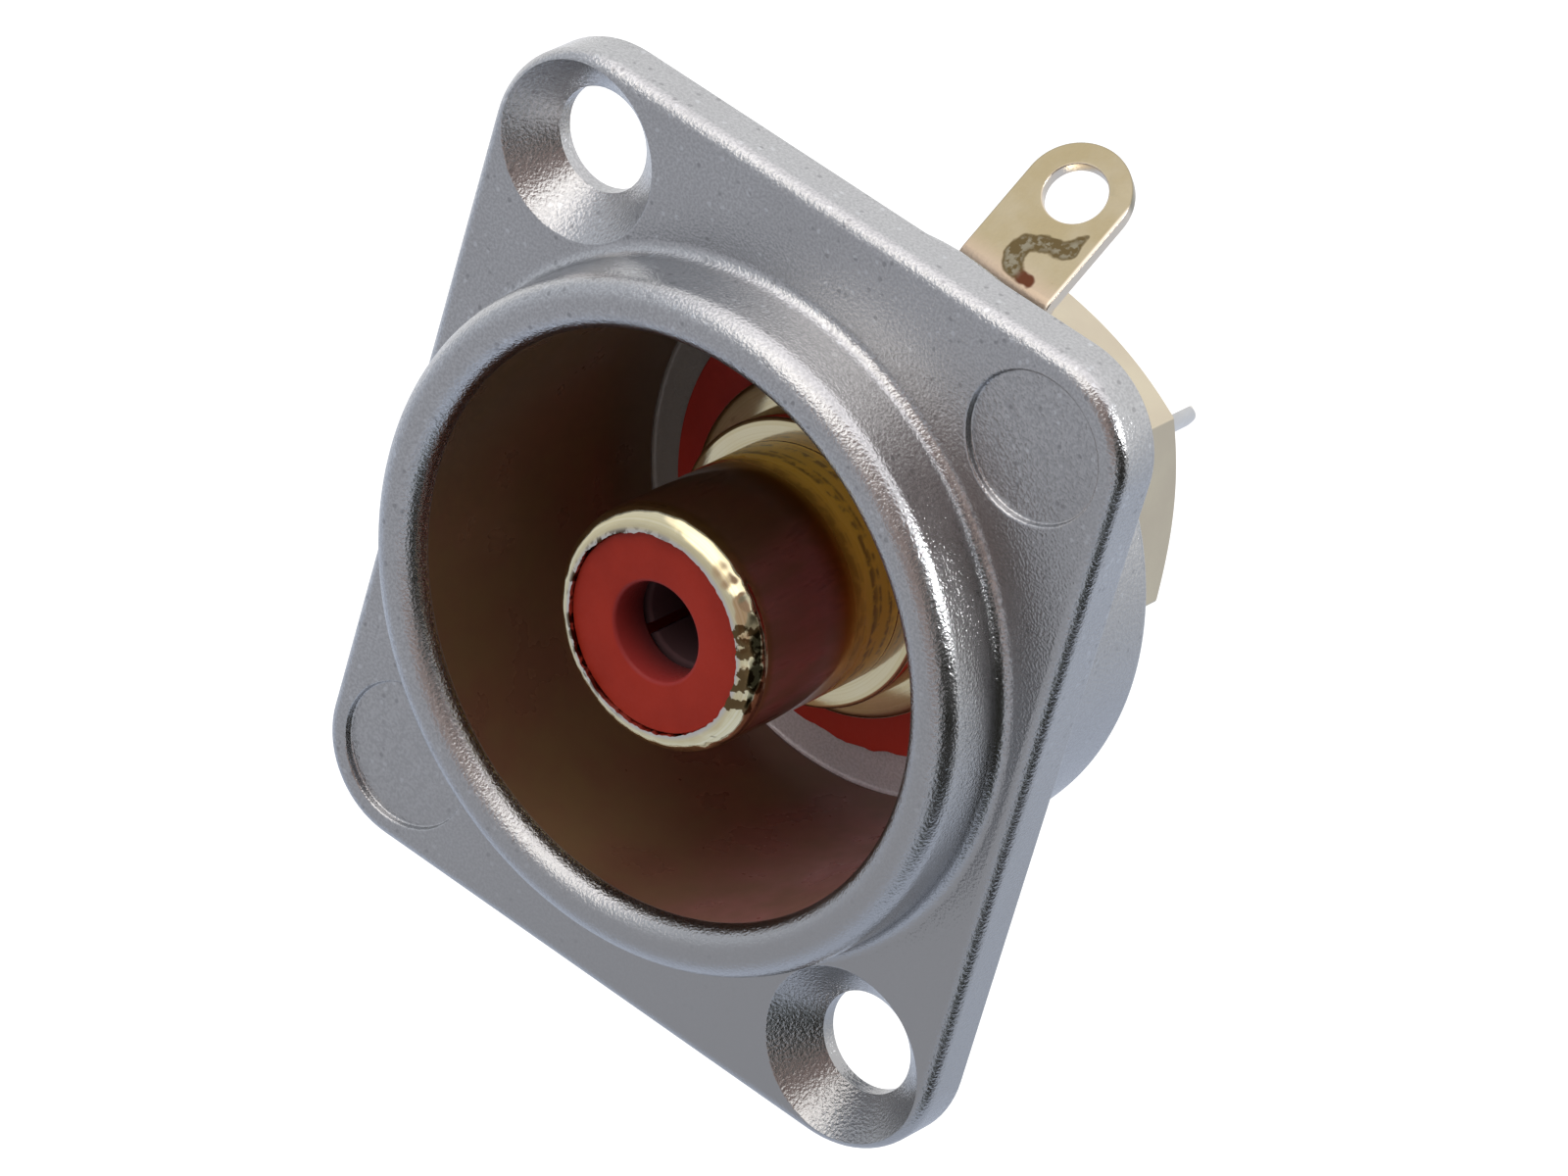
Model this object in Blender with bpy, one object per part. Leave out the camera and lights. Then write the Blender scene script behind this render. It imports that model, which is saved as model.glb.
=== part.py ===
"""Panel socket for a phono plug, with an insulated gold-plated jack in a die-cast flange.

Units are metres. The socket's axis is the Y axis and the plug comes in from -Y. +Z is up, and +X is
right as seen from the front. The origin lies on the axis, in the flange's rear face, which seats on
the panel. Outlines of turned pieces are lists of (radius, y, corner rounding).
"""

import math

import bmesh
import bpy
from mathutils import Matrix, Vector

MM = 0.001

# Clearances between neighbours; the one at the thread stands in for it
SEAT_GAP = 0.25 * MM
BORE_GAP = 0.27 * MM
THREAD_GAP = 0.25 * MM

# Centre contact, sized for the plug's pin
CONTACT_BORE_RADIUS = 1.6 * MM
CONTACT_WALL = 0.4 * MM
CONTACT_BORE_DEPTH = 8.0 * MM
CONTACT_EDGE_ROUND = 0.12 * MM
FINGER_SLOT_WIDTH = 0.35 * MM
FINGER_ROOT = 1.5 * MM
CONTACT_FLANGE_THICKNESS = 0.8 * MM
CONTACT_FLANGE_MARGIN = 0.35 * MM
STEM_STEP = 0.5 * MM
TAIL_LENGTH = 5.79 * MM
TAIL_TIP_ROUND = 1.25 * MM
TAIL_THICKNESS = 0.57 * MM
TAIL_STEM_STUB = 0.5 * MM
TAIL_TURN = math.radians(38.6)

# Nose insulator
NOSE_RECESS = 0.4 * MM
NOSE_EDGE_ROUND = 0.3 * MM
NOSE_WALL = 1.18 * MM
NOSE_FACE_THICKNESS = 1.3 * MM
NOSE_LENGTH = 12.45 * MM
PIN_HOLE_GAP = 0.05 * MM
PIN_HOLE_ROUND = 0.3 * MM

# Rear insulator
REAR_INSULATOR_PAST_SHANK = 0.4 * MM
REAR_INSULATOR_EDGE_ROUND = 0.2 * MM

# Jack shell: turned brass, one piece
BARREL_LENGTH = 7.55 * MM
BARREL_WALL = 0.45 * MM
LIP_ROUND = 0.88 * MM
LIP_LEDGE = 0.31 * MM
LIP_THICKNESS = 0.25 * MM
LIP_CONE_LENGTH = 0.25 * MM
PLUG_STOP_STEP = 0.78 * MM
PLUG_STOP_LENGTH = 1.9 * MM
PLUG_STOP_ROUND = 0.15 * MM
SHOULDER_STEP = 1.0 * MM
SHOULDER_LENGTH = 1.55 * MM
SHOULDER_ROUND = 0.3 * MM
SHANK_STEP = 0.58 * MM
SHANK_PAST_NUT = 0.6 * MM
SHANK_CHAMFER = 0.35 * MM

# Insulating washers on both sides of the cup's floor
FRONT_WASHER_THICKNESS = 0.35 * MM
FRONT_WASHER_MARGIN = 1.31 * MM
WASHER_SHOULDER_WALL = 0.9 * MM
WASHER_SHOULDER_GAP = 0.3 * MM
WASHER_SHOULDER_SETBACK = 0.3 * MM
REAR_WASHER_THICKNESS = 1.0 * MM
REAR_WASHER_MARGIN = 0.65 * MM
WASHER_EDGE_ROUND = 0.12 * MM

# Housing: cup and collar
PLUG_ROOM = 5.83 * MM
CUP_TAPER = math.radians(3.05)
CUP_FLOOR_Y = 7.0 * MM
CUP_FLOOR_FILLET = 0.15 * MM
CUP_FLOOR_THICKNESS = 0.7 * MM
RIM_BEAD_RADIUS = 0.9 * MM
COLLAR_HEIGHT = 3.0 * MM
COLLAR_FILLET = 0.5 * MM
TUBE_WALL = 0.55 * MM
TUBE_EDGE_ROUND = 0.45 * MM
REAR_BOSS_WALL = 2.4 * MM
REAR_BOSS_HEIGHT = 0.8 * MM

# Housing: flange
FLANGE_SIDE = 1.2 * MM
FLANGE_EXTRA_HEIGHT = 5.0 * MM
FLANGE_THICKNESS = 1.9 * MM
FLANGE_EDGE_ROUND = 0.55 * MM
SCREW_CORNER_RADIUS = 4.0 * MM
PLAIN_CORNER_RADIUS = 3.3 * MM
SCREW_INSET = 3.5 * MM
SCREW_HOLE_RADIUS = 1.78 * MM
SCREW_HOLE_LAND = 0.52 * MM
COUNTERSINK_RADIUS = 3.1 * MM
RECESS_INSET = 3.4 * MM
RECESS_RADIUS = 2.55 * MM
RECESS_DEPTH = 0.25 * MM
CUTTER_OVERRUN = 0.2 * MM

# Ground tag: sheet, bent back above the ring
TAG_THICKNESS = 0.5 * MM
TAG_RING_WALL = 1.9 * MM
TAG_WIDTH = 3.8 * MM
TAG_NECK = 1.34 * MM
TAG_BEND_RADIUS = 0.6 * MM
TAG_BEND_ANGLE = math.radians(51.0)
TAG_BEND_STEPS = 6
TAG_HOLE_FROM_BEND = 3.47 * MM
TAG_HOLE_RADIUS = 1.1 * MM

# Lock washer: toothed ring
LOCK_WASHER_THICKNESS = 0.32 * MM
LOCK_RING_WALL = 0.9 * MM
LOCK_TOOTH_LENGTH = 0.8 * MM
LOCK_TOOTH_TWIST = 0.1 * MM
LOCK_TEETH = 14
TOOTH_GAP_SHARE = 0.3
TOOTH_FLANK_SHARE = 0.12

# Nut
NUT_WALL = 0.8 * MM
NUT_HEIGHT = 4.1 * MM
NUT_FACE_WALL = 0.45 * MM
NUT_CHAMFER_ANGLE = math.radians(30.0)
NUT_BORE_CHAMFER = 0.2 * MM
NUT_TURN = math.radians(42.5)

# Facets
LARGE_SEGMENTS = 64
MEDIUM_SEGMENTS = 48
SMALL_SEGMENTS = 32
ARC_STEPS = 4
FINE_ROUND = 0.2 * MM
FINE_STEPS = 2
WELD = 0.0005 * MM
SHARP_ANGLE = math.radians(30.0)

# Radii, from the pin outwards
PIN_HOLE_RADIUS = CONTACT_BORE_RADIUS + PIN_HOLE_GAP
CONTACT_RADIUS = CONTACT_BORE_RADIUS + CONTACT_WALL
CONTACT_ROOM_RADIUS = CONTACT_RADIUS + BORE_GAP
STEM_RADIUS = CONTACT_RADIUS - STEM_STEP
STEM_ROOM_RADIUS = STEM_RADIUS + BORE_GAP
INSULATOR_RADIUS = CONTACT_ROOM_RADIUS + NOSE_WALL
CONTACT_FLANGE_RADIUS = INSULATOR_RADIUS - CONTACT_FLANGE_MARGIN
SHELL_BORE_RADIUS = INSULATOR_RADIUS + BORE_GAP
BARREL_RADIUS = SHELL_BORE_RADIUS + BARREL_WALL
PLUG_STOP_RADIUS = BARREL_RADIUS + PLUG_STOP_STEP
SHOULDER_RADIUS = PLUG_STOP_RADIUS + SHOULDER_STEP
SHANK_RADIUS = BARREL_RADIUS + SHANK_STEP
SHANK_HOLE_RADIUS = SHANK_RADIUS + THREAD_GAP
WASHER_SHOULDER_RADIUS = SHANK_HOLE_RADIUS + WASHER_SHOULDER_WALL
FLOOR_HOLE_RADIUS = WASHER_SHOULDER_RADIUS + WASHER_SHOULDER_GAP
REAR_BOSS_RADIUS = FLOOR_HOLE_RADIUS + REAR_BOSS_WALL
NUT_FLAT_RADIUS = SHANK_HOLE_RADIUS + NUT_WALL
NUT_CHAMFER_RADIUS = SHANK_HOLE_RADIUS + NUT_FACE_WALL
CUP_MOUTH_RADIUS = BARREL_RADIUS + PLUG_ROOM
TUBE_RADIUS = CUP_MOUTH_RADIUS + TUBE_WALL
COLLAR_RADIUS = CUP_MOUTH_RADIUS + 2 * RIM_BEAD_RADIUS
FLANGE_HALF_WIDTH = COLLAR_RADIUS + FLANGE_SIDE
FLANGE_HALF_HEIGHT = FLANGE_HALF_WIDTH + FLANGE_EXTRA_HEIGHT / 2

# Places along the axis, from the front backwards
FLANGE_FRONT_Y = -FLANGE_THICKNESS
RIM_Y = FLANGE_FRONT_Y - COLLAR_HEIGHT
BEAD_Y = RIM_Y + RIM_BEAD_RADIUS
CUP_FLOOR_RADIUS = CUP_MOUTH_RADIUS - (CUP_FLOOR_Y - BEAD_Y) * math.tan(CUP_TAPER)
FRONT_WASHER_RADIUS = CUP_FLOOR_RADIUS - CUP_FLOOR_FILLET - FRONT_WASHER_MARGIN
FRONT_WASHER_REAR_Y = CUP_FLOOR_Y - SEAT_GAP
FRONT_WASHER_Y = FRONT_WASHER_REAR_Y - FRONT_WASHER_THICKNESS
SHOULDER_REAR_Y = FRONT_WASHER_Y - SEAT_GAP
SHOULDER_Y = SHOULDER_REAR_Y - SHOULDER_LENGTH
PLUG_STOP_Y = SHOULDER_Y - PLUG_STOP_LENGTH
NOSE_Y = PLUG_STOP_Y - BARREL_LENGTH
TUBE_REAR_Y = CUP_FLOOR_Y + CUP_FLOOR_THICKNESS
BOSS_REAR_Y = TUBE_REAR_Y + REAR_BOSS_HEIGHT
REAR_WASHER_Y = BOSS_REAR_Y + SEAT_GAP
TAG_Y = REAR_WASHER_Y + REAR_WASHER_THICKNESS + SEAT_GAP
LOCK_WASHER_Y = TAG_Y + TAG_THICKNESS + SEAT_GAP
LOCK_WASHER_HEIGHT = LOCK_WASHER_THICKNESS + 2 * LOCK_TOOTH_TWIST
NUT_Y = LOCK_WASHER_Y + LOCK_WASHER_HEIGHT + SEAT_GAP
NUT_REAR_Y = NUT_Y + NUT_HEIGHT
SHANK_REAR_Y = NUT_REAR_Y + SHANK_PAST_NUT
NOSE_FACE_Y = NOSE_Y + NOSE_RECESS
NOSE_REAR_Y = NOSE_FACE_Y + NOSE_LENGTH
CONTACT_Y = NOSE_FACE_Y + NOSE_FACE_THICKNESS + SEAT_GAP
CONTACT_FLANGE_Y = NOSE_REAR_Y + SEAT_GAP
REAR_INSULATOR_Y = CONTACT_FLANGE_Y + CONTACT_FLANGE_THICKNESS + SEAT_GAP
REAR_INSULATOR_REAR_Y = SHANK_REAR_Y + REAR_INSULATOR_PAST_SHANK
TAIL_Y = REAR_INSULATOR_REAR_Y + TAIL_STEM_STUB
TAIL_TIP_Y = TAIL_Y + TAIL_LENGTH


# Outlines


def arc(centre, radius, start, end, steps=ARC_STEPS):
    """Points on an arc, with angles in radians from the first axis towards the second."""
    points = []
    for i in range(steps + 1):
        angle = start + (end - start) * i / steps
        points.append((centre[0] + radius * math.cos(angle), centre[1] + radius * math.sin(angle)))
    return points


def rounded_corner(before, corner, after, rounding):
    """Points of the tangent arc that replaces one corner of an outline."""
    here = Vector(corner)
    to_before = (Vector(before) - here).normalized()
    to_after = (Vector(after) - here).normalized()
    half = to_before.angle(to_after) / 2
    centre = here + (to_before + to_after).normalized() * (rounding / math.sin(half))
    start = here + to_before * (rounding / math.tan(half)) - centre
    end = here + to_after * (rounding / math.tan(half)) - centre
    turn = start.angle_signed(end)
    steps = ARC_STEPS if rounding > FINE_ROUND else FINE_STEPS
    points = []
    for i in range(steps + 1):
        spoke = start.copy()
        spoke.rotate(Matrix.Rotation(-turn * i / steps, 2))
        points.append(tuple(centre + spoke))
    return points


def outline(corners):
    """Closed outline through corners given as (first, second) or (first, second, rounding)."""
    points = []
    for i, corner in enumerate(corners):
        if len(corner) == 2:
            points.append(tuple(corner))
            continue
        before = corners[i - 1][:2]
        after = corners[(i + 1) % len(corners)][:2]
        points.extend(rounded_corner(before, corner[:2], after, corner[2]))
    return points


# Solids


def finished(name, bm, material):
    """Turns a bmesh into a named object with its material and smooth shading."""
    bmesh.ops.remove_doubles(bm, verts=bm.verts, dist=WELD)
    bmesh.ops.recalc_face_normals(bm, faces=bm.faces)
    mesh = bpy.data.meshes.new(name)
    bm.to_mesh(mesh)
    bm.free()
    mesh.shade_smooth()
    mesh.set_sharp_from_angle(angle=SHARP_ANGLE)
    solid = bpy.data.objects.new(name, mesh)
    bpy.context.scene.collection.objects.link(solid)
    if material:
        mesh.materials.append(material)
    return solid


def turned(name, points, material=None, segments=LARGE_SEGMENTS):
    """Solid of revolution about the Y axis. An edge that lies on the axis is left out."""
    bm = bmesh.new()
    verts = [bm.verts.new((radius, y, 0)) for radius, y in points]
    edges = []
    for i in range(len(points)):
        if points[i][0] > WELD or points[i - 1][0] > WELD:
            edges.append(bm.edges.new((verts[i - 1], verts[i])))
    bmesh.ops.spin(
        bm,
        geom=verts + edges,
        cent=(0, 0, 0),
        axis=(0, 1, 0),
        angle=2 * math.pi,
        steps=segments,
        use_merge=True,
    )
    return finished(name, bm, material)


def plate(name, points, front_y, rear_y, material=None, edge_round=0):
    """Sheet with an outline in X and Z, and a rounded front edge where one is asked for."""
    bm = bmesh.new()
    rear = bm.faces.new([bm.verts.new((x, rear_y, z)) for x, z in points])
    sheet = bmesh.ops.extrude_face_region(bm, geom=[rear])
    raised = [item for item in sheet["geom"] if isinstance(item, bmesh.types.BMVert)]
    bmesh.ops.translate(bm, verts=raised, vec=(0, front_y - rear_y, 0))
    if edge_round:
        rim = [edge for edge in bm.edges if all(vert in raised for vert in edge.verts)]
        bmesh.ops.bevel(
            bm, geom=rim, offset=edge_round, segments=ARC_STEPS, profile=0.5, affect="EDGES"
        )
    return finished(name, bm, material)


def block(name, low, high, turn=0):
    """Box between two corners, turned about the Y axis."""
    bm = bmesh.new()
    bmesh.ops.create_cube(bm, size=1)
    size = Vector(high) - Vector(low)
    middle = (Vector(high) + Vector(low)) / 2
    place = Matrix.Rotation(turn, 4, "Y") @ Matrix.Translation(middle) @ Matrix.Diagonal(size).to_4x4()
    bmesh.ops.transform(bm, matrix=place, verts=bm.verts)
    return finished(name, bm, None)


def combine(solid, tool, operation):
    """Applies a Boolean to the solid and removes the tool."""
    tool.display_type = "WIRE"
    tool.hide_render = True
    modifier = solid.modifiers.new(operation.title(), "BOOLEAN")
    modifier.operation = operation
    modifier.solver = "EXACT"
    modifier.object = tool
    bpy.context.view_layer.update()
    evaluated = solid.evaluated_get(bpy.context.evaluated_depsgraph_get())
    mesh = bpy.data.meshes.new_from_object(evaluated)
    solid.modifiers.clear()
    solid.data = mesh
    mesh.shade_smooth()
    mesh.set_sharp_from_angle(angle=SHARP_ANGLE)
    bpy.data.objects.remove(tool)


def finish(name, colour, roughness, metallic):
    """Plain material with the piece's own colour and sheen."""
    material = bpy.data.materials.new(name)
    material.use_nodes = True
    shader = material.node_tree.nodes["Principled BSDF"]
    shader.inputs["Base Color"].default_value = (*colour, 1)
    shader.inputs["Roughness"].default_value = roughness
    shader.inputs["Metallic"].default_value = metallic
    material.diffuse_color = (*colour, 1)
    return material


# Housing


def corner_place(inset, side):
    """Point at the inset from both edges: side -1 is the top left corner, 1 the bottom right."""
    return side * (FLANGE_HALF_WIDTH - inset), -side * (FLANGE_HALF_HEIGHT - inset)


def flange_outline():
    """Rounded rectangle: the screw corners have a larger radius than the plain ones."""
    width, height = FLANGE_HALF_WIDTH, FLANGE_HALF_HEIGHT
    return outline(
        [
            (-width, -height, PLAIN_CORNER_RADIUS),
            (width, -height, SCREW_CORNER_RADIUS),
            (width, height, PLAIN_CORNER_RADIUS),
            (-width, height, SCREW_CORNER_RADIUS),
        ]
    )


def cup_outline():
    """Rim bead, collar, rear tube, boss, floor and tapered wall, as one turned section."""
    sunk_y = FLANGE_FRONT_Y / 2
    bead_centre = (COLLAR_RADIUS - RIM_BEAD_RADIUS, BEAD_Y)
    bead = arc(bead_centre, RIM_BEAD_RADIUS, math.pi, 2 * math.pi, 2 * ARC_STEPS)
    fillet_centre = (COLLAR_RADIUS + COLLAR_FILLET, FLANGE_FRONT_Y - COLLAR_FILLET)
    fillet = arc(fillet_centre, COLLAR_FILLET, math.pi, math.pi / 2)
    body = outline(
        [
            (COLLAR_RADIUS + COLLAR_FILLET, sunk_y),
            (TUBE_RADIUS, sunk_y),
            (TUBE_RADIUS, TUBE_REAR_Y, TUBE_EDGE_ROUND),
            (REAR_BOSS_RADIUS, TUBE_REAR_Y),
            (REAR_BOSS_RADIUS, BOSS_REAR_Y),
            (FLOOR_HOLE_RADIUS, BOSS_REAR_Y),
            (FLOOR_HOLE_RADIUS, CUP_FLOOR_Y),
            (CUP_FLOOR_RADIUS, CUP_FLOOR_Y, CUP_FLOOR_FILLET),
            (CUP_MOUTH_RADIUS, BEAD_Y),
        ]
    )
    return bead + fillet + body[:-1]


def screw_cutter(side):
    """Hole with a countersink that opens a little past the flange's front face."""
    slope = (COUNTERSINK_RADIUS - SCREW_HOLE_RADIUS) / (FLANGE_THICKNESS - SCREW_HOLE_LAND)
    cutter = turned(
        "screw_cutter",
        [
            (0, CUTTER_OVERRUN),
            (SCREW_HOLE_RADIUS, CUTTER_OVERRUN),
            (SCREW_HOLE_RADIUS, -SCREW_HOLE_LAND),
            (COUNTERSINK_RADIUS + slope * CUTTER_OVERRUN, FLANGE_FRONT_Y - CUTTER_OVERRUN),
            (0, FLANGE_FRONT_Y - CUTTER_OVERRUN),
        ],
        segments=SMALL_SEGMENTS,
    )
    x, z = corner_place(SCREW_INSET, side)
    cutter.location = (x, 0, z)
    return cutter


def recess_cutter(side):
    """Shallow round recess in a plain corner of the flange's front face."""
    cutter = turned(
        "recess_cutter",
        [
            (0, FLANGE_FRONT_Y + RECESS_DEPTH),
            (RECESS_RADIUS, FLANGE_FRONT_Y + RECESS_DEPTH),
            (RECESS_RADIUS, FLANGE_FRONT_Y - CUTTER_OVERRUN),
            (0, FLANGE_FRONT_Y - CUTTER_OVERRUN),
        ],
        segments=SMALL_SEGMENTS,
    )
    x, z = corner_place(RECESS_INSET, side)
    cutter.location = (-x, 0, z)
    return cutter


def housing(material):
    """Die-cast flange with its collar, cup and rear tube."""
    casting = plate("housing", flange_outline(), FLANGE_FRONT_Y, 0, material, FLANGE_EDGE_ROUND)
    inside_wall = (CUP_MOUTH_RADIUS + TUBE_RADIUS) / 2
    opening = turned(
        "flange_opening",
        [
            (0, CUTTER_OVERRUN),
            (inside_wall, CUTTER_OVERRUN),
            (inside_wall, FLANGE_FRONT_Y - CUTTER_OVERRUN),
            (0, FLANGE_FRONT_Y - CUTTER_OVERRUN),
        ],
    )
    combine(casting, opening, "DIFFERENCE")
    combine(casting, turned("cup", cup_outline()), "UNION")
    for side in (-1, 1):
        combine(casting, screw_cutter(side), "DIFFERENCE")
        combine(casting, recess_cutter(side), "DIFFERENCE")


# Jack


def jack_shell(material):
    """Lip, barrel, plug stop, shoulder and shank, bored through from the rear."""
    lip_radius = SHELL_BORE_RADIUS - LIP_LEDGE
    lip_centre = (BARREL_RADIUS - LIP_ROUND, NOSE_Y + LIP_ROUND)
    lip_start = -math.acos((lip_radius - lip_centre[0]) / LIP_ROUND)
    lip_rear_y = NOSE_Y + LIP_THICKNESS
    lip = arc(lip_centre, LIP_ROUND, lip_start, 0, 2 * ARC_STEPS)
    body = outline(
        [
            (BARREL_RADIUS, PLUG_STOP_Y),
            (PLUG_STOP_RADIUS, PLUG_STOP_Y, PLUG_STOP_ROUND),
            (PLUG_STOP_RADIUS, SHOULDER_Y),
            (SHOULDER_RADIUS, SHOULDER_Y, SHOULDER_ROUND),
            (SHOULDER_RADIUS, SHOULDER_REAR_Y, SHOULDER_ROUND),
            (SHANK_RADIUS, SHOULDER_REAR_Y),
            (SHANK_RADIUS, SHANK_REAR_Y - SHANK_CHAMFER),
            (SHANK_RADIUS - SHANK_CHAMFER, SHANK_REAR_Y),
            (SHELL_BORE_RADIUS, SHANK_REAR_Y),
            (SHELL_BORE_RADIUS, lip_rear_y + LIP_CONE_LENGTH),
            (lip_radius, lip_rear_y),
        ]
    )
    turned("jack_shell", lip + body, material, MEDIUM_SEGMENTS)


def nose_insulator(material):
    """Sleeve in the barrel: its front face holds the pin's hole, and the contact lies behind it."""
    room_y = NOSE_FACE_Y + NOSE_FACE_THICKNESS
    points = outline(
        [
            (PIN_HOLE_RADIUS, NOSE_FACE_Y, PIN_HOLE_ROUND),
            (INSULATOR_RADIUS, NOSE_FACE_Y, NOSE_EDGE_ROUND),
            (INSULATOR_RADIUS, NOSE_REAR_Y),
            (CONTACT_ROOM_RADIUS, NOSE_REAR_Y),
            (CONTACT_ROOM_RADIUS, room_y),
            (PIN_HOLE_RADIUS, room_y),
        ]
    )
    turned("nose_insulator", points, material, SMALL_SEGMENTS)


def centre_contact(material):
    """Turned contact: four sprung fingers, a flange, and a stem milled flat as a solder tail."""
    bore_end_y = CONTACT_Y + CONTACT_BORE_DEPTH
    slot_end_y = bore_end_y - FINGER_ROOT
    points = outline(
        [
            (0, bore_end_y),
            (CONTACT_BORE_RADIUS, bore_end_y),
            (CONTACT_BORE_RADIUS, CONTACT_Y, CONTACT_EDGE_ROUND),
            (CONTACT_RADIUS, CONTACT_Y, CONTACT_EDGE_ROUND),
            (CONTACT_RADIUS, CONTACT_FLANGE_Y),
            (CONTACT_FLANGE_RADIUS, CONTACT_FLANGE_Y),
            (CONTACT_FLANGE_RADIUS, CONTACT_FLANGE_Y + CONTACT_FLANGE_THICKNESS),
            (STEM_RADIUS, CONTACT_FLANGE_Y + CONTACT_FLANGE_THICKNESS),
            (STEM_RADIUS, TAIL_TIP_Y),
            (0, TAIL_TIP_Y),
        ]
    )
    contact = turned("centre_contact", points, material, SMALL_SEGMENTS)
    reach = CONTACT_RADIUS + CUTTER_OVERRUN
    half_slot = FINGER_SLOT_WIDTH / 2
    for turn in (math.pi / 4, -math.pi / 4):
        low = (-reach, CONTACT_Y - CUTTER_OVERRUN, -half_slot)
        high = (reach, slot_end_y, half_slot)
        combine(contact, block("finger_slot", low, high, turn), "DIFFERENCE")
    flat = STEM_RADIUS - TAIL_THICKNESS
    low = (-reach, TAIL_Y, -reach)
    high = (flat, TAIL_TIP_Y + CUTTER_OVERRUN, reach)
    combine(contact, block("tail_flat", low, high, TAIL_TURN), "DIFFERENCE")
    combine(contact, tail_end_cutter(flat, reach), "DIFFERENCE")


def tail_end_cutter(flat, reach):
    """Block with a round notch that leaves the flat tail with a rounded end."""
    round_y = TAIL_TIP_Y - TAIL_TIP_ROUND
    end_y = TAIL_TIP_Y + CUTTER_OVERRUN
    notch = arc((0, round_y), TAIL_TIP_ROUND, 0, math.pi, 3 * ARC_STEPS)
    sides = [(-reach, round_y), (-reach, end_y), (reach, end_y), (reach, round_y)]
    cutter = plate("tail_end", notch + sides, flat - CUTTER_OVERRUN, reach)
    upright = Matrix.Rotation(-math.pi / 2, 4, "X")
    cutter.matrix_world = Matrix.Rotation(TAIL_TURN - math.pi / 2, 4, "Y") @ upright
    return cutter


def rear_insulator(material):
    """Bush that closes the shank and holds the contact's stem."""
    points = outline(
        [
            (STEM_ROOM_RADIUS, REAR_INSULATOR_Y),
            (INSULATOR_RADIUS, REAR_INSULATOR_Y),
            (INSULATOR_RADIUS, REAR_INSULATOR_REAR_Y, REAR_INSULATOR_EDGE_ROUND),
            (STEM_ROOM_RADIUS, REAR_INSULATOR_REAR_Y),
        ]
    )
    turned("rear_insulator", points, material, SMALL_SEGMENTS)


# Stack on the shank


def front_insulating_washer(material):
    """Thin washer in the cup, with a shoulder that lines the floor's hole."""
    shoulder_end = BOSS_REAR_Y - WASHER_SHOULDER_SETBACK
    points = outline(
        [
            (SHANK_HOLE_RADIUS, FRONT_WASHER_Y),
            (FRONT_WASHER_RADIUS, FRONT_WASHER_Y, WASHER_EDGE_ROUND),
            (FRONT_WASHER_RADIUS, FRONT_WASHER_REAR_Y),
            (WASHER_SHOULDER_RADIUS, FRONT_WASHER_REAR_Y),
            (WASHER_SHOULDER_RADIUS, shoulder_end),
            (SHANK_HOLE_RADIUS, shoulder_end),
        ]
    )
    turned("front_insulating_washer", points, material, MEDIUM_SEGMENTS)


def rear_insulating_washer(material):
    """Flat washer behind the cup's boss."""
    radius = REAR_BOSS_RADIUS - REAR_WASHER_MARGIN
    rear_y = REAR_WASHER_Y + REAR_WASHER_THICKNESS
    points = outline(
        [
            (SHANK_HOLE_RADIUS, REAR_WASHER_Y),
            (radius, REAR_WASHER_Y),
            (radius, rear_y),
            (SHANK_HOLE_RADIUS, rear_y),
        ]
    )
    turned("rear_insulating_washer", points, material, MEDIUM_SEGMENTS)


def drill(radius, front_y, rear_y, height=0):
    """Round cutter along the Y axis, past both faces, at a height above the axis."""
    cutter = turned(
        "drill",
        [
            (0, front_y - CUTTER_OVERRUN),
            (radius, front_y - CUTTER_OVERRUN),
            (radius, rear_y + CUTTER_OVERRUN),
            (0, rear_y + CUTTER_OVERRUN),
        ],
        segments=SMALL_SEGMENTS,
    )
    cutter.location.z = height
    return cutter


def bent_back(point, bend_z):
    """Where a point of the flat tag lies once the tab is bent back about a line at bend_z."""
    middle_y = TAG_Y + TAG_THICKNESS / 2
    along = point.z - bend_z
    if along <= 0:
        return point
    angle = min(along / TAG_BEND_RADIUS, TAG_BEND_ANGLE)
    past = along - angle * TAG_BEND_RADIUS
    radius = TAG_BEND_RADIUS - (point.y - middle_y)
    y = middle_y + TAG_BEND_RADIUS - radius * math.cos(angle) + past * math.sin(angle)
    z = bend_z + radius * math.sin(angle) + past * math.cos(angle)
    return Vector((point.x, y, z))


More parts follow.
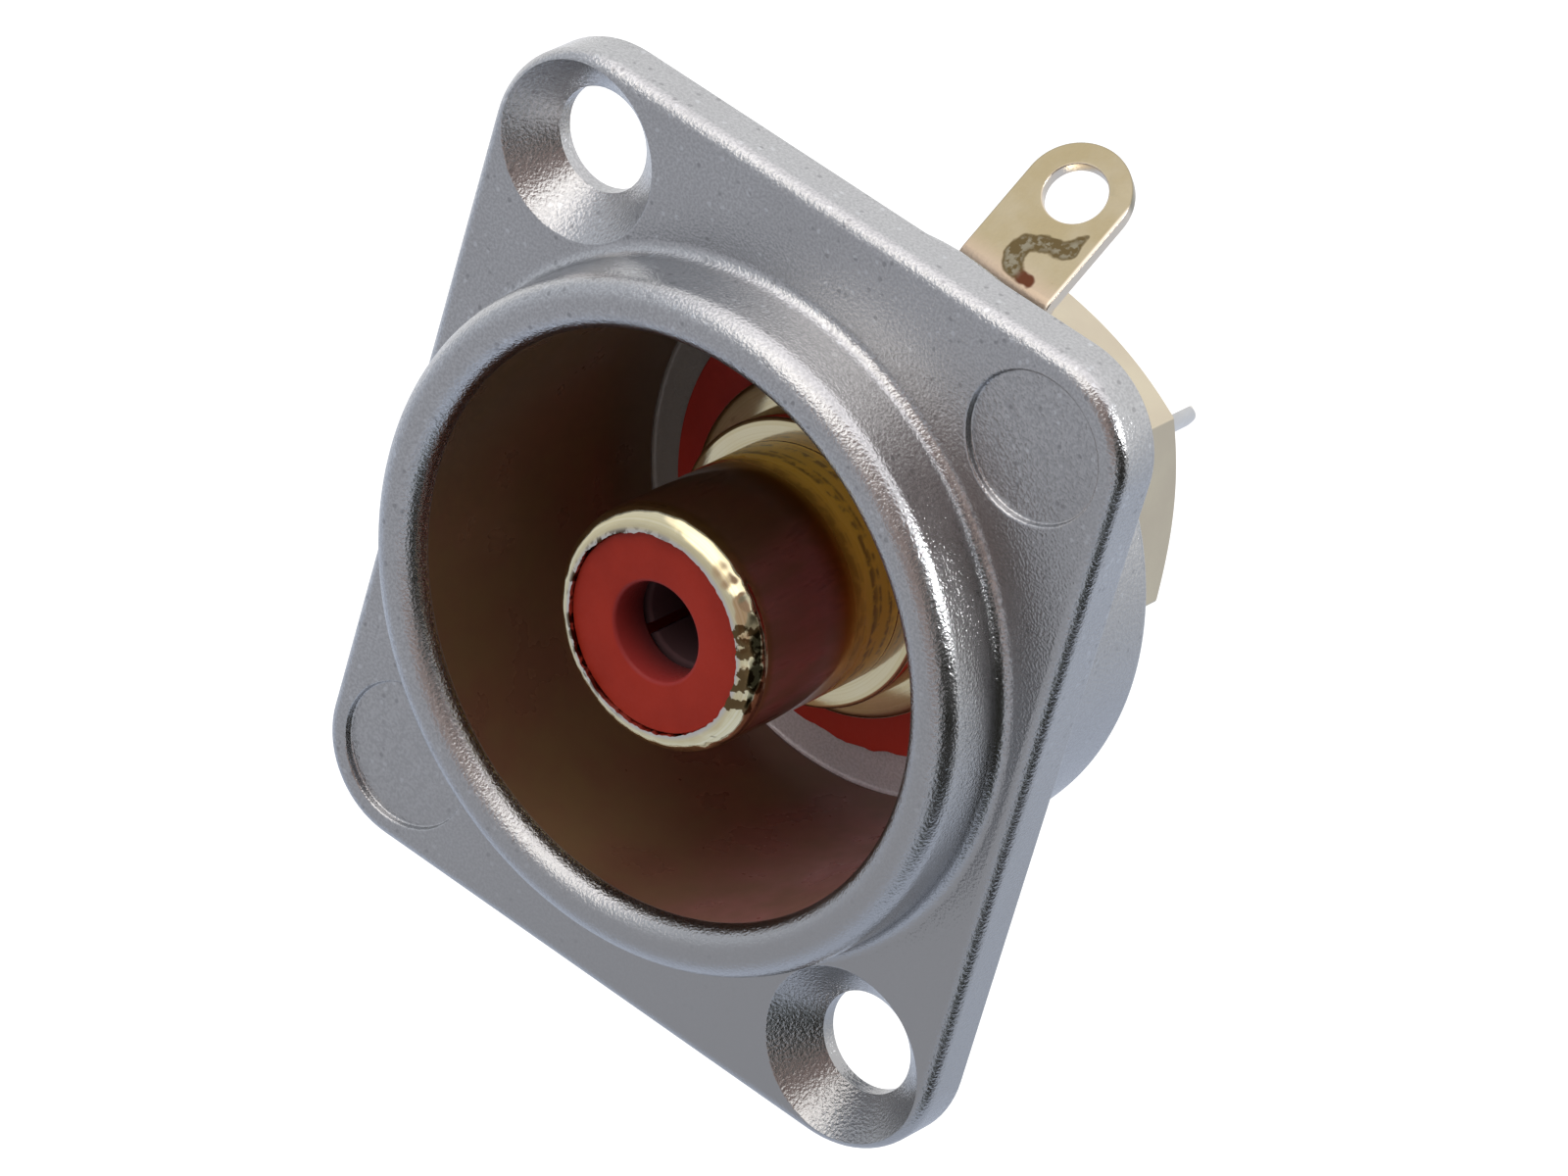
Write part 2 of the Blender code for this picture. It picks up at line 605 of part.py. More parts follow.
def ground_tag(material):
    """Ring with a tab, cut flat and then bent back."""
    ring_radius = SHANK_HOLE_RADIUS + TAG_RING_WALL
    half_width = TAG_WIDTH / 2
    bend_z = ring_radius + TAG_NECK
    bend_length = TAG_BEND_RADIUS * TAG_BEND_ANGLE
    hole_z = bend_z + bend_length + TAG_HOLE_FROM_BEND
    neck = math.asin(half_width / ring_radius)
    ring = arc((0, 0), ring_radius, math.pi / 2 + neck, 2.5 * math.pi - neck, MEDIUM_SEGMENTS)
    end = arc((0, hole_z), half_width, 0, math.pi, 3 * ARC_STEPS)
    rear_y = TAG_Y + TAG_THICKNESS
    tag = plate("ground_tag", ring + end, TAG_Y, rear_y, material)
    combine(tag, drill(SHANK_HOLE_RADIUS, TAG_Y, rear_y), "DIFFERENCE")
    combine(tag, drill(TAG_HOLE_RADIUS, TAG_Y, rear_y, hole_z), "DIFFERENCE")
    bm = bmesh.new()
    bm.from_mesh(tag.data)
    for i in range(TAG_BEND_STEPS + 1):
        cut_z = bend_z + bend_length * i / TAG_BEND_STEPS
        everything = bm.verts[:] + bm.edges[:] + bm.faces[:]
        bmesh.ops.bisect_plane(bm, geom=everything, dist=WELD, plane_co=(0, 0, cut_z), plane_no=(0, 0, 1))
    for vert in bm.verts:
        vert.co = bent_back(vert.co.copy(), bend_z)
    bm.to_mesh(tag.data)
    bm.free()
    tag.data.set_sharp_from_angle(angle=SHARP_ANGLE)


def lock_washer(material):
    """Ring with twisted outer teeth."""
    root = SHANK_HOLE_RADIUS + LOCK_RING_WALL
    tip = root + LOCK_TOOTH_LENGTH
    pitch = 2 * math.pi / LOCK_TEETH
    tip_start = TOOTH_GAP_SHARE + TOOTH_FLANK_SHARE
    tip_end = 1 - TOOTH_FLANK_SHARE
    points = []
    for tooth in range(LOCK_TEETH):
        for share, radius in ((0, root), (TOOTH_GAP_SHARE, root), (tip_start, tip), (tip_end, tip)):
            angle = (tooth + share) * pitch
            points.append((radius * math.cos(angle), radius * math.sin(angle)))
    front_y = LOCK_WASHER_Y + LOCK_TOOTH_TWIST
    rear_y = front_y + LOCK_WASHER_THICKNESS
    washer = plate("lock_washer", points, front_y, rear_y, material)
    combine(washer, drill(SHANK_HOLE_RADIUS, front_y, rear_y), "DIFFERENCE")
    tooth_middle = pitch * (tip_start + tip_end) / 2
    for vert in washer.data.vertices:
        if math.hypot(vert.co.x, vert.co.z) > root + WELD:
            angle = math.atan2(vert.co.z, vert.co.x) % pitch
            vert.co.y += math.copysign(LOCK_TOOTH_TWIST, angle - tooth_middle)


def hex_nut(material):
    """Hexagon nut, chamfered at the rear."""
    corner_radius = NUT_FLAT_RADIUS / math.cos(math.pi / 6)
    blank_radius = corner_radius + CUTTER_OVERRUN
    chamfer_y = NUT_REAR_Y - (blank_radius - NUT_CHAMFER_RADIUS) * math.tan(NUT_CHAMFER_ANGLE)
    nut = turned(
        "hex_nut",
        [
            (SHANK_HOLE_RADIUS, NUT_Y),
            (blank_radius, NUT_Y),
            (blank_radius, chamfer_y),
            (NUT_CHAMFER_RADIUS, NUT_REAR_Y),
            (SHANK_HOLE_RADIUS + NUT_BORE_CHAMFER, NUT_REAR_Y),
            (SHANK_HOLE_RADIUS, NUT_REAR_Y - NUT_BORE_CHAMFER),
        ],
        material,
        MEDIUM_SEGMENTS,
    )
    hexagon = arc((0, 0), corner_radius, NUT_TURN, NUT_TURN + 5 * math.pi / 3, 5)
    bar = plate("nut_bar", hexagon, NUT_Y - CUTTER_OVERRUN, NUT_REAR_Y + CUTTER_OVERRUN)
    combine(nut, bar, "INTERSECT")


def main():
    for old in list(bpy.data.objects):
        bpy.data.objects.remove(old)
    zinc = finish("satin_zinc", (0.50, 0.50, 0.52), 0.34, 1.0)
    gold = finish("gold_plate", (0.83, 0.70, 0.46), 0.20, 1.0)
    red = finish("red_plastic", (0.42, 0.045, 0.035), 0.38, 0.0)
    steel = finish("washer_steel", (0.45, 0.42, 0.36), 0.35, 1.0)
    pale = finish("contact_plate", (0.66, 0.62, 0.54), 0.28, 1.0)
    housing(zinc)
    front_insulating_washer(red)
    rear_insulating_washer(red)
    jack_shell(gold)
    nose_insulator(red)
    centre_contact(pale)
    rear_insulator(red)
    ground_tag(gold)
    lock_washer(steel)
    hex_nut(gold)


main()
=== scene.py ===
"""Looks of a panel socket for a phono plug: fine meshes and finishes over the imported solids.

Lengths are in millimetres until a mesh is made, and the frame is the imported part's: the axis is Y, the
plug comes in from -Y, +Z is up. Outlines of turned pieces are lists of (radius, y, corner rounding).
"""

import math

import bmesh
import bpy
from mathutils import Matrix, Vector, noise


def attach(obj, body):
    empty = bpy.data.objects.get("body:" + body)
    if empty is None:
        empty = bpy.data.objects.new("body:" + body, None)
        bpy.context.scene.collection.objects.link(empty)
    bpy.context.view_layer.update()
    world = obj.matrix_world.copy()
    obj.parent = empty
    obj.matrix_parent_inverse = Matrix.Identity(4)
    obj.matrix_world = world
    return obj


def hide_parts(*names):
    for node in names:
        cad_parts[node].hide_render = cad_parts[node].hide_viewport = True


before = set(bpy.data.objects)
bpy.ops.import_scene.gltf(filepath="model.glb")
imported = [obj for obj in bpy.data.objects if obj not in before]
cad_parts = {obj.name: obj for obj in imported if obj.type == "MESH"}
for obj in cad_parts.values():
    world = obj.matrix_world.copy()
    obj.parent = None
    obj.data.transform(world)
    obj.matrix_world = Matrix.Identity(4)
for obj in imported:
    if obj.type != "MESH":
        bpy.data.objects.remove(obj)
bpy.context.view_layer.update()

MM = 0.001
CORNER_STEPS = 6
TOOL_SEGMENTS = 128
SHARP_ANGLE = math.radians(32)
WELD = 0.0004
SAME_RADIUS = 0.01

# Camera, as the photo was taken, with its direction in degrees
CAMERA_AZIMUTH = 30.444
CAMERA_ELEVATION = 32.403
CAMERA_ROLL = math.radians(16.549)
CAMERA_DISTANCE = 377.256
CAMERA_SIDE = 1.23
CAMERA_RISE = 0.034
CAMERA_LENS = 269.07
SENSOR_WIDTH = 36.0
CAMERA_CLIP = (0.01, 20)

# Clearances
SEAT_GAP = 0.25
BORE_GAP = 0.27

# Housing
FLANGE_WIDTH = 26.0
FLANGE_HEIGHT = 31.0
FLANGE_FRONT = -1.9
FLANGE_ROUND = 0.55
FLANGE_REAR_ROUND = 0.1
SCREW_CORNER = 4.0
PLAIN_CORNER = 3.3
SCREW_AT = (9.5, 12.0)
SCREW_HOLE = 1.78
SCREW_LAND = -0.52
COUNTERSINK = 3.1
RECESS_AT = (9.6, 12.1)
RECESS = 2.55
RECESS_DEPTH = 0.25
RECESS_FILLET = 0.08
EDGE_BREAK = 0.1
RIM_FRONT = -4.9
BEAD = 0.9
MOUTH = 10.0
COLLAR = 11.8
COLLAR_FILLET = 0.5
CUP_FLOOR = 7.0
CUP_FLOOR_RADIUS = 9.414
FLOOR_FILLET = 0.15
FLOOR_HOLE = 6.2
TUBE = 10.55
TUBE_REAR = 7.7
TUBE_ROUND = 0.45
BOSS = 8.6
BOSS_REAR = 8.5
OVERRUN = 0.4

# Jack
NOSE = -4.85
BARREL = 4.17
SHELL_BORE = 3.72
LIP_ROUND = 0.88
LIP_EDGE = 3.41
LIP_LENGTH = 0.5
LIP_TORN = 0.45
LIP_DENTS = -4.1
LIP_DENT_DEPTH = 0.2
BARREL_ROOT = (-0.2, 1.4)
PLUG_STOP = 2.7
PLUG_STOP_RADIUS = 4.95
SHOULDER = 4.6
SHOULDER_RADIUS = 5.95
SHOULDER_REAR = 6.15
SHANK = 4.75
SHANK_REAR = 16.22
SHANK_HOLE = 5.0
INSULATOR = 3.45
BUSH = (9.3, 16.62)
NOSE_FACE = -4.66
NOSE_REAR = 8.0
PIN_HOLE = 1.68
PIN_HOLE_ROUND = 0.16
CONTACT_ROOM = 2.27
CONTACT_FRONT = -2.9
CONTACT_BORE = 1.6
CONTACT_BORE_END = 5.1
CONTACT = 2.0
CONTACT_FLANGE = (3.1, 8.25, 9.05)
SLOT_HALF = 0.175
SLOT_END = 3.6
STEM = 1.5
TAIL = 17.12
TAIL_TIP = 22.91
TAIL_TIP_ROUND = 1.25
TAIL_FLAT = 0.93
TAIL_TURN = math.radians(38.6)
THREAD_PITCH = 0.75
THREAD_DEPTH = 0.2
THREAD_START = 0.35
THREAD_STEP = 0.05

# Stack on the shank
FRONT_WASHER = (7.95, 6.4, 6.75)
WASHER_SHOULDER = (5.9, 8.2)
WASHER_TORN = 0.22
REAR_WASHER = (7.95, 8.75, 9.75)
TAG = (6.9, 10.0, 10.5)
TAG_HALF_WIDTH = 1.9
TAG_BEND = 8.24
TAG_BEND_RADIUS = 0.6
TAG_BEND_ANGLE = math.radians(51)
TAG_HOLE = 1.1
TAG_HOLE_PAST_BEND = 3.47
LOCK_WASHER = (5.9, 6.7, 10.85, 11.17)
LOCK_TEETH = 14
LOCK_TWIST = 0.1
TOOTH_ROOT = (0, 0.15, 0.3)
TOOTH_TIP = (0.42, 0.65, 0.88)
NUT = (11.52, 15.62)
NUT_FLAT = 5.8
NUT_CHAMFER = 5.45
NUT_BORE_MOUTH = 0.2
NUT_THREAD_DEPTH = 0.16
NUT_THREAD_STEP = 0.06
NUT_THREAD_ENDS = (0.3, 0.25)
NUT_EDGE = 0.15
NUT_TURN = math.radians(42.5)


# Outlines


def arc(centre, radius, start, end, steps=CORNER_STEPS):
    """Points on an arc, with angles from the first axis towards the second."""
    points = []
    for i in range(steps + 1):
        angle = start + (end - start) * i / steps
        points.append((centre[0] + radius * math.cos(angle), centre[1] + radius * math.sin(angle)))
    return points


def rounded_corner(before, corner, after, rounding):
    """Points of the tangent arc that replaces one corner of an outline."""
    here = Vector(corner)
    to_before = (Vector(before) - here).normalized()
    to_after = (Vector(after) - here).normalized()
    half = to_before.angle(to_after) / 2
    centre = here + (to_before + to_after).normalized() * (rounding / math.sin(half))
    start = here + to_before * (rounding / math.tan(half)) - centre
    end = here + to_after * (rounding / math.tan(half)) - centre
    turn = start.angle_signed(end)
    points = []
    for i in range(CORNER_STEPS + 1):
        spoke = start.copy()
        spoke.rotate(Matrix.Rotation(-turn * i / CORNER_STEPS, 2))
        points.append(tuple(centre + spoke))
    return points


def outline(*corners):
    """Closed outline through corners given as (first, second) or (first, second, rounding)."""
    points = []
    for i, corner in enumerate(corners):
        if len(corner) == 2:
            points.append(tuple(corner))
            continue
        after = corners[(i + 1) % len(corners)][:2]
        points.extend(rounded_corner(corners[i - 1][:2], corner[:2], after, corner[2]))
    return points


# Meshes


def shaded(mesh):
    """Smooth shading that keeps flat faces flat and sharp edges sharp."""
    mesh.shade_smooth()
    mesh.set_sharp_from_angle(angle=SHARP_ANGLE)


def piece_from(name, bm):
    """Turns a bmesh in millimetres into an object in metres."""
    bmesh.ops.remove_doubles(bm, verts=bm.verts, dist=WELD)
    bmesh.ops.recalc_face_normals(bm, faces=bm.faces)
    bmesh.ops.scale(bm, vec=(MM,) * 3, verts=bm.verts)
    mesh = bpy.data.meshes.new(name)
    bm.to_mesh(mesh)
    bm.free()
    shaded(mesh)
    piece = bpy.data.objects.new(name, mesh)
    bpy.context.scene.collection.objects.link(piece)
    return piece


def turned(name, points, segments=192, shape=None):
    """Ring mesh about the Y axis. shape may move each point, given its angle, radius and y."""
    bm = bmesh.new()
    rings = []
    for radius, y in points:
        if radius < WELD:
            rings.append([bm.verts.new((0, y, 0))] * segments)
            continue
        ring = []
        for i in range(segments):
            angle = 2 * math.pi * i / segments
            here, along = shape(angle, radius, y) if shape else (radius, y)
            ring.append(bm.verts.new((here * math.cos(angle), along, here * math.sin(angle))))
        rings.append(ring)
    for i in range(len(points)):
        first, second = rings[i - 1], rings[i]
        if points[i - 1][0] < WELD and points[i][0] < WELD:
            continue
        for k in range(segments):
            following = (k + 1) % segments
            corners = [first[k], first[following], second[following], second[k]]
            unique = list(dict.fromkeys(corners))
            bm.faces.new(unique)
    return piece_from(name, bm)


def layered(name, rings):
    """Closed mesh through outlines of equal length, with flat ends."""
    bm = bmesh.new()
    layers = [[bm.verts.new((x, y, z)) for x, z in points] for y, points in rings]
    for first, second in zip(layers, layers[1:]):
        for k in range(len(first)):
            bm.faces.new((first[k - 1], first[k], second[k], second[k - 1]))
    bm.faces.new(layers[0])
    bm.faces.new(layers[-1])
    return piece_from(name, bm)


def inset(points, amount):
    """Outline moved inwards by an amount. The points run counter-clockwise."""
    moved = []
    for i, point in enumerate(points):
        following = Vector(points[(i + 1) % len(points)])
        before = Vector(points[i - 1])
        along = (following - Vector(point)).normalized() + (Vector(point) - before).normalized()
        along.normalize()
        moved.append((point[0] - along.y * amount, point[1] + along.x * amount))
    return moved


def box_tool(low, high, turn=0):
    """Cutting block between two corners, turned about the Y axis."""
    bm = bmesh.new()
    bmesh.ops.create_cube(bm, size=1)
    size = Vector(high) - Vector(low)
    middle = (Vector(high) + Vector(low)) / 2
    stretched = Matrix.Translation(middle) @ Matrix.Diagonal(size).to_4x4()
    bmesh.ops.transform(bm, matrix=Matrix.Rotation(turn, 4, "Y") @ stretched, verts=bm.verts)
    return piece_from("block", bm)


def moved(tool, x, z):
    """The tool, moved across the axis."""
    tool.data.transform(Matrix.Translation((x * MM, 0, z * MM)))
    return tool


def combine(piece, tool, operation="DIFFERENCE"):
    """Applies a Boolean to the piece and removes the tool."""
    modifier = piece.modifiers.new("Boolean", "BOOLEAN")
    modifier.operation = operation
    modifier.solver = "MANIFOLD"
    modifier.object = tool
    settle(piece)
    shaded(piece.data)
    bpy.data.objects.remove(tool)


def settle(piece):
    """Applies the piece's modifiers to its mesh."""
    bpy.context.view_layer.update()
    evaluated = piece.evaluated_get(bpy.context.evaluated_depsgraph_get())
    mesh = bpy.data.meshes.new_from_object(evaluated)
    mesh.name = piece.name
    piece.modifiers.clear()
    piece.data = mesh


def dress(piece, node, finish):
    """Gives a piece its finish, weighs its normals by face area, and lets it stand for its node."""
    piece.data.materials.clear()
    piece.data.materials.append(finish)
    weights = piece.modifiers.new("Flat faces stay flat", "WEIGHTED_NORMAL")
    weights.keep_sharp = True
    weights.weight = 100
    settle(piece)
    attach(piece, "root")
    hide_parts(node)


# Node building


def add(tree, kind, sockets=None, **settings):
    """Adds a node. Sockets take a value, or another node's output to be joined to."""
    made = tree.nodes.new(kind)
    for name, value in settings.items():
        setattr(made, name, value)
    for name, value in (sockets or {}).items():
        if isinstance(value, bpy.types.NodeSocket):
            tree.links.new(value, made.inputs[name])
        else:
            made.inputs[name].default_value = value
    return made


def calc(tree, operation, first, second=0.0, third=0.0):
    """Result of one sum."""
    sockets = {0: first, 1: second, 2: third}
    return add(tree, "ShaderNodeMath", sockets, operation=operation).outputs[0]


def times(tree, first, *factors):
    """Product of two or more values."""
    for factor in factors:
        first = calc(tree, "MULTIPLY", first, factor)
    return first


def ramp(tree, value, low, high, to_low=0.0, to_high=1.0):
    """Value turned smoothly from one range to another."""
    sockets = {"Value": value, "From Min": low, "From Max": high, "To Min": to_low, "To Max": to_high}
    return add(tree, "ShaderNodeMapRange", sockets, interpolation_type="SMOOTHSTEP").outputs["Result"]


def between(tree, share, low, high):
    """Value that goes smoothly from low to high as a share goes from 0 to 1."""
    return ramp(tree, share, 0.0, 1.0, low, high)


def blend(tree, share, first, second):
    """Mix of two colours, each a tuple or another node's output."""
    first, second = ((*value, 1) if isinstance(value, tuple) else value for value in (first, second))
    return add(tree, "ShaderNodeMix", {0: share, 6: first, 7: second}, data_type="RGBA").outputs[2]


def group(name, inputs, outputs):
    """Empty node group with named sockets. Returns the tree, its inputs and its output node."""
    tree = bpy.data.node_groups.new(name, "ShaderNodeTree")
    for socket, value in inputs:
        made = tree.interface.new_socket(socket, in_out="INPUT", socket_type="NodeSocketFloat")
        made.default_value = value
    for socket in outputs:
        tree.interface.new_socket(socket, in_out="OUTPUT", socket_type="NodeSocketFloat")
    return tree, tree.nodes.new("NodeGroupInput").outputs, tree.nodes.new("NodeGroupOutput")


def place(tree, name, **values):
    """Places a shared effect in a material, with this material's own values."""
    made = tree.nodes.new("ShaderNodeGroup")
    made.node_tree = bpy.data.node_groups[name]
    for socket, value in values.items():
        named(made, socket).default_value = value
    return made.outputs


def named(node, name):
    """The node's input of a name, which is given in lower case with underscores."""
    return next(socket for socket in node.inputs if socket.name.lower() == name.replace("_", " "))


def join(tree, node, **values):
    """Joins values to a node's inputs, or to a group's outputs through its output node."""
    for name, value in values.items():
        tree.links.new(value, named(node, name))


def millimetres(tree):
    """Place on the piece in millimetres."""
    here = tree.nodes.new("ShaderNodeTexCoord").outputs["Object"]
    return add(tree, "ShaderNodeVectorMath", {0: here, 1: (1 / MM,) * 3}, operation="MULTIPLY").outputs[0]


def places(tree):
    """X, Y and Z on the piece in millimetres."""
    parts = add(tree, "ShaderNodeSeparateXYZ", {0: millimetres(tree)}).outputs
    return parts["X"], parts["Y"], parts["Z"]


def counted(tree, vector, size):
    """Vector counted in steps of a size."""
    steps = {0: vector, "Scale": calc(tree, "DIVIDE", 1.0, size)}
    return add(tree, "ShaderNodeVectorMath", steps, operation="SCALE").outputs[0]


def sized(tree, size):
    """Place on the piece, counted in steps of a size in millimetres."""
    return counted(tree, millimetres(tree), size)


# Shared effects

NOISE_MIDDLE = (0.35, 0.65)
LINING_RADIUS = MOUTH + 0.02
LINING_START = (RIM_FRONT + BEAD - 0.02, RIM_FRONT + BEAD + 0.06)
LINING_END = (CUP_FLOOR - 0.18, CUP_FLOOR - 0.08)
FLOOR_START = (CUP_FLOOR - 0.16, CUP_FLOOR - 0.08)
LINING_PAINTED_LIGHT_RIGHT = (0.0, 7.0)
LINING_REFLECTION_LOW = (2.0, -8.0)
LOWER_RIGHT = (-6.0, 22.0)


def cast_grain():
    """Pebbly skin of a die casting."""
    tree, given, end = group("cast_grain", [("Size", 0.2), ("Fineness", 2.0)], ["Height", "Shade"])
    sockets = {"Vector": sized(tree, given["Size"]), "Scale": 1.0, "Detail": given["Fineness"]}
    height = add(tree, "ShaderNodeTexNoise", sockets).outputs["Fac"]
    join(tree, end, height=height, shade=ramp(tree, height, *NOISE_MIDDLE))


def specks():
    """Scattered small spots: a share of the cells holds a dark one, and as many hold a light one."""
    tree, given, end = group("specks", [("Size", 0.3), ("Share", 0.1)], ["Dark", "Light"])
    cells = add(tree, "ShaderNodeTexVoronoi", {"Vector": sized(tree, given["Size"]), "Scale": 1.0})
    chance = add(tree, "ShaderNodeSeparateColor", {0: cells.outputs["Color"]}).outputs[0]
    round_spot = ramp(tree, cells.outputs["Distance"], 0.2, 0.45, 1.0, 0.0)
    darks = calc(tree, "LESS_THAN", chance, given["Share"])
    lights = calc(tree, "GREATER_THAN", chance, calc(tree, "SUBTRACT", 1.0, given["Share"]))
    join(tree, end, dark=times(tree, darks, round_spot), light=times(tree, lights, round_spot))


def smudges():
    """Slow uneven patches, such as handling leaves on metal and plastic."""
    tree, given, end = group("smudges", [("Size", 4.0)], ["Amount"])
    sockets = {"Vector": sized(tree, given["Size"]), "Scale": 1.0, "Detail": 4.0, "Roughness": 0.55}
    cloud = add(tree, "ShaderNodeTexNoise", sockets)
    join(tree, end, amount=ramp(tree, cloud.outputs["Fac"], 0.3, 0.7))


def about_axis():
    """Distance from the axis and place along it, in millimetres."""
    tree, _, end = group("about_axis", [], ["Radius", "Along"])
    x, y, z = places(tree)
    squares = calc(tree, "ADD", times(tree, x, x), times(tree, z, z))
    join(tree, end, radius=calc(tree, "SQRT", squares), along=y)


def cup_lining():
    """Where the cup's wall is lined and its floor bare, and how far a place lies to the right and below, for
    the painted light, shade and reflections there.
    """
    tree, _, end = group("cup_lining", [], ["Mask", "Floor", "Right", "Low", "Lower right"])
    where = place(tree, "about_axis")
    x, _, z = places(tree)
    inside = calc(tree, "LESS_THAN", where["Radius"], LINING_RADIUS)
    begun = ramp(tree, where["Along"], *LINING_START)
    ended = ramp(tree, where["Along"], *LINING_END, 1.0, 0.0)
    within = calc(tree, "LESS_THAN", where["Radius"], CUP_FLOOR_RADIUS)
    shallow = calc(tree, "LESS_THAN", where["Along"], CUP_FLOOR + 0.02)
    join(
        tree,
        end,
        mask=times(tree, inside, begun, ended),
        floor=times(tree, ramp(tree, where["Along"], *FLOOR_START), within, shallow),
        right=ramp(tree, x, *LINING_PAINTED_LIGHT_RIGHT),
        low=ramp(tree, z, *LINING_REFLECTION_LOW),
        lower_right=ramp(tree, calc(tree, "SUBTRACT", x, z), *LOWER_RIGHT),
    )


def turning_marks():
    """Fine rings that a lathe tool leaves round the axis."""
    tree, given, end = group("turning_marks", [("Pitch", 0.1)], ["Height", "Shade"])
    where = place(tree, "about_axis")
    flat = add(tree, "ShaderNodeCombineXYZ", {0: where["Radius"], 1: where["Along"]}).outputs[0]
    sockets = {"Vector": counted(tree, flat, given["Pitch"]), "Scale": 1.0, "Detail": 2.0}
    height = add(tree, "ShaderNodeTexNoise", sockets).outputs["Fac"]
    join(tree, end, height=height, shade=ramp(tree, height, *NOISE_MIDDLE))


# Finishes. Bump depths are in millimetres, and each pair of colours or roughness goes from low to high.

ZINC_DARK = (0.45, 0.453, 0.463)
ZINC_LIGHT = (0.56, 0.563, 0.575)
ZINC_PATCH = (0.40, 0.40, 0.41)
ZINC_PIT = (0.22, 0.22, 0.23)
ZINC_GLINT = (0.75, 0.77, 0.8)
ZINC_PAINTED_SHADE = (0.42, 0.42, 0.425)
ZINC_ROUGH = (0.19, 0.25)
ZINC_DEPTH = 0.026
CUP_FLOOR_DARK = (0.36, 0.34, 0.32)
CUP_FLOOR_PAINTED_LIGHT = (1.0, 0.93, 0.96)
CUP_OLIVE = (0.19, 0.14, 0.055)
CUP_BROWN_WITH_REFLECTION = (0.215, 0.13, 0.075)
CUP_MAROON_REFLECTION = (0.185, 0.080, 0.050)
CUP_PURPLE_PAINTED_LIGHT = (0.52, 0.215, 0.21)
CUP_DARK = (0.17, 0.085, 0.055)

GOLD_DULL = (0.76, 0.67, 0.42)
GOLD_BRIGHT = (0.84, 0.76, 0.53)
GOLD_PATCH = (0.80, 0.67, 0.38)
GOLD_ROUGH = (0.06, 0.11)
GOLD_DEPTH = 0.0006
BARREL_WALL = (1.0, 0.92, 0.92)
BARREL_AMBER_REFLECTION = (0.75, 0.38, 0.07)
BARREL_YELLOW_REFLECTION = (1.0, 0.66, 0.09)
BARREL_STREAK = (0.34, 0.20, 0.035)
LIP_EDGE_HIGHLIGHT = (0.66, 0.64, 0.62)
LIP_DARK_REFLECTION = (0.14, 0.09, 0.04)
LIP_DIRT = (0.085, 0.05, 0.022)

NUT_COLOURS = ((0.64, 0.575, 0.44), (0.59, 0.52, 0.405))
NUT_ROUGH = (0.34, 0.40)
SATIN_DEPTH = 0.003

TAG_WARM = (0.298, 0.253, 0.153)
TAG_PALE = (0.330, 0.290, 0.200)
TAG_PINK = (0.42, 0.33, 0.255)
TAG_EDGE_HIGHLIGHT = (0.78, 0.69, 0.58)
TAG_ROUGH = (0.28, 0.48)
TAG_DEPTH = 0.006
TAG_HOLE_CENTRE = (0, 13.17, 10.89)
STAIN_DARK = (0.115, 0.085, 0.04)
STAIN_GREY = (0.225, 0.205, 0.15)
STAIN_RED = (0.11, 0.040, 0.022)
STAIN_RED_AT = (0.72, 10.37, 8.95)
STAIN_BLEND = 0.3
STAIN_RAGGED = 0.3

# Stain on the tag: centre and size of each spot
STAIN_SPOTS = (
    ((1.35, 12.22, 10.45), 0.05),
    ((1.30, 12.05, 10.31), 0.15),
    ((1.24, 11.84, 10.14), 0.26),
    ((1.14, 11.62, 9.96), 0.33),
    ((0.83, 11.55, 9.90), 0.34),
    ((0.50, 11.50, 9.86), 0.30),
    ((0.18, 11.42, 9.79), 0.27),
    ((-0.09, 11.28, 9.68), 0.28),
    ((-0.27, 11.07, 9.51), 0.36),
    ((-0.29, 10.80, 9.29), 0.38),
    ((-0.10, 10.58, 9.11), 0.34),
    ((0.18, 10.44, 9.00), 0.29),
    ((0.50, 10.38, 8.95), 0.24),
    ((0.78, 10.38, 8.96), 0.20),
    ((1.47, 10.69, 9.20), 0.03),
)

RED_COLOURS = ((0.35, 0.022, 0.009), (0.41, 0.028, 0.012))
RED_ROUGH = (0.42, 0.54)
HOLE_RED = (0.34, 0.034, 0.030)
HOLE_PAINTED_SHADE = (0.10, 0.034, 0.036)
WASHER_COLOURS = ((0.42, 0.030, 0.020), (0.52, 0.038, 0.025))
WASHER_LIT = (0.72, 0.060, 0.036)
WASHER_ROUGH = (0.42, 0.55)
WASHER_DEPTH = 0.006
STEEL_COLOURS = ((0.40, 0.37, 0.31), (0.50, 0.47, 0.41))
STEEL_ROUGH = (0.30, 0.42)
TIN_COLOURS = ((0.78, 0.74, 0.68), (0.86, 0.83, 0.78))
TIN_PAINTED_SHADE = (0.12, 0.065, 0.07)
TIN_ROUGH = (0.28, 0.40)
TIN_DEPTH = 0.002


def material(name, **constants):
    """New material. Constants go straight to the shader's sockets. Returns it, its tree and shader."""
    made = bpy.data.materials.new(name)
    made.use_nodes = True
    tree = made.node_tree
    shader = tree.nodes["Principled BSDF"]
    for socket, value in constants.items():
        named(shader, socket).default_value = value
    return made, tree, shader


def raise_bumps(tree, shader, height, distance):
    """Bumps of a depth in millimetres."""
    sockets = {"Height": height, "Distance": distance * MM, "Strength": 1.0}
    join(tree, shader, normal=add(tree, "ShaderNodeBump", sockets).outputs["Normal"])


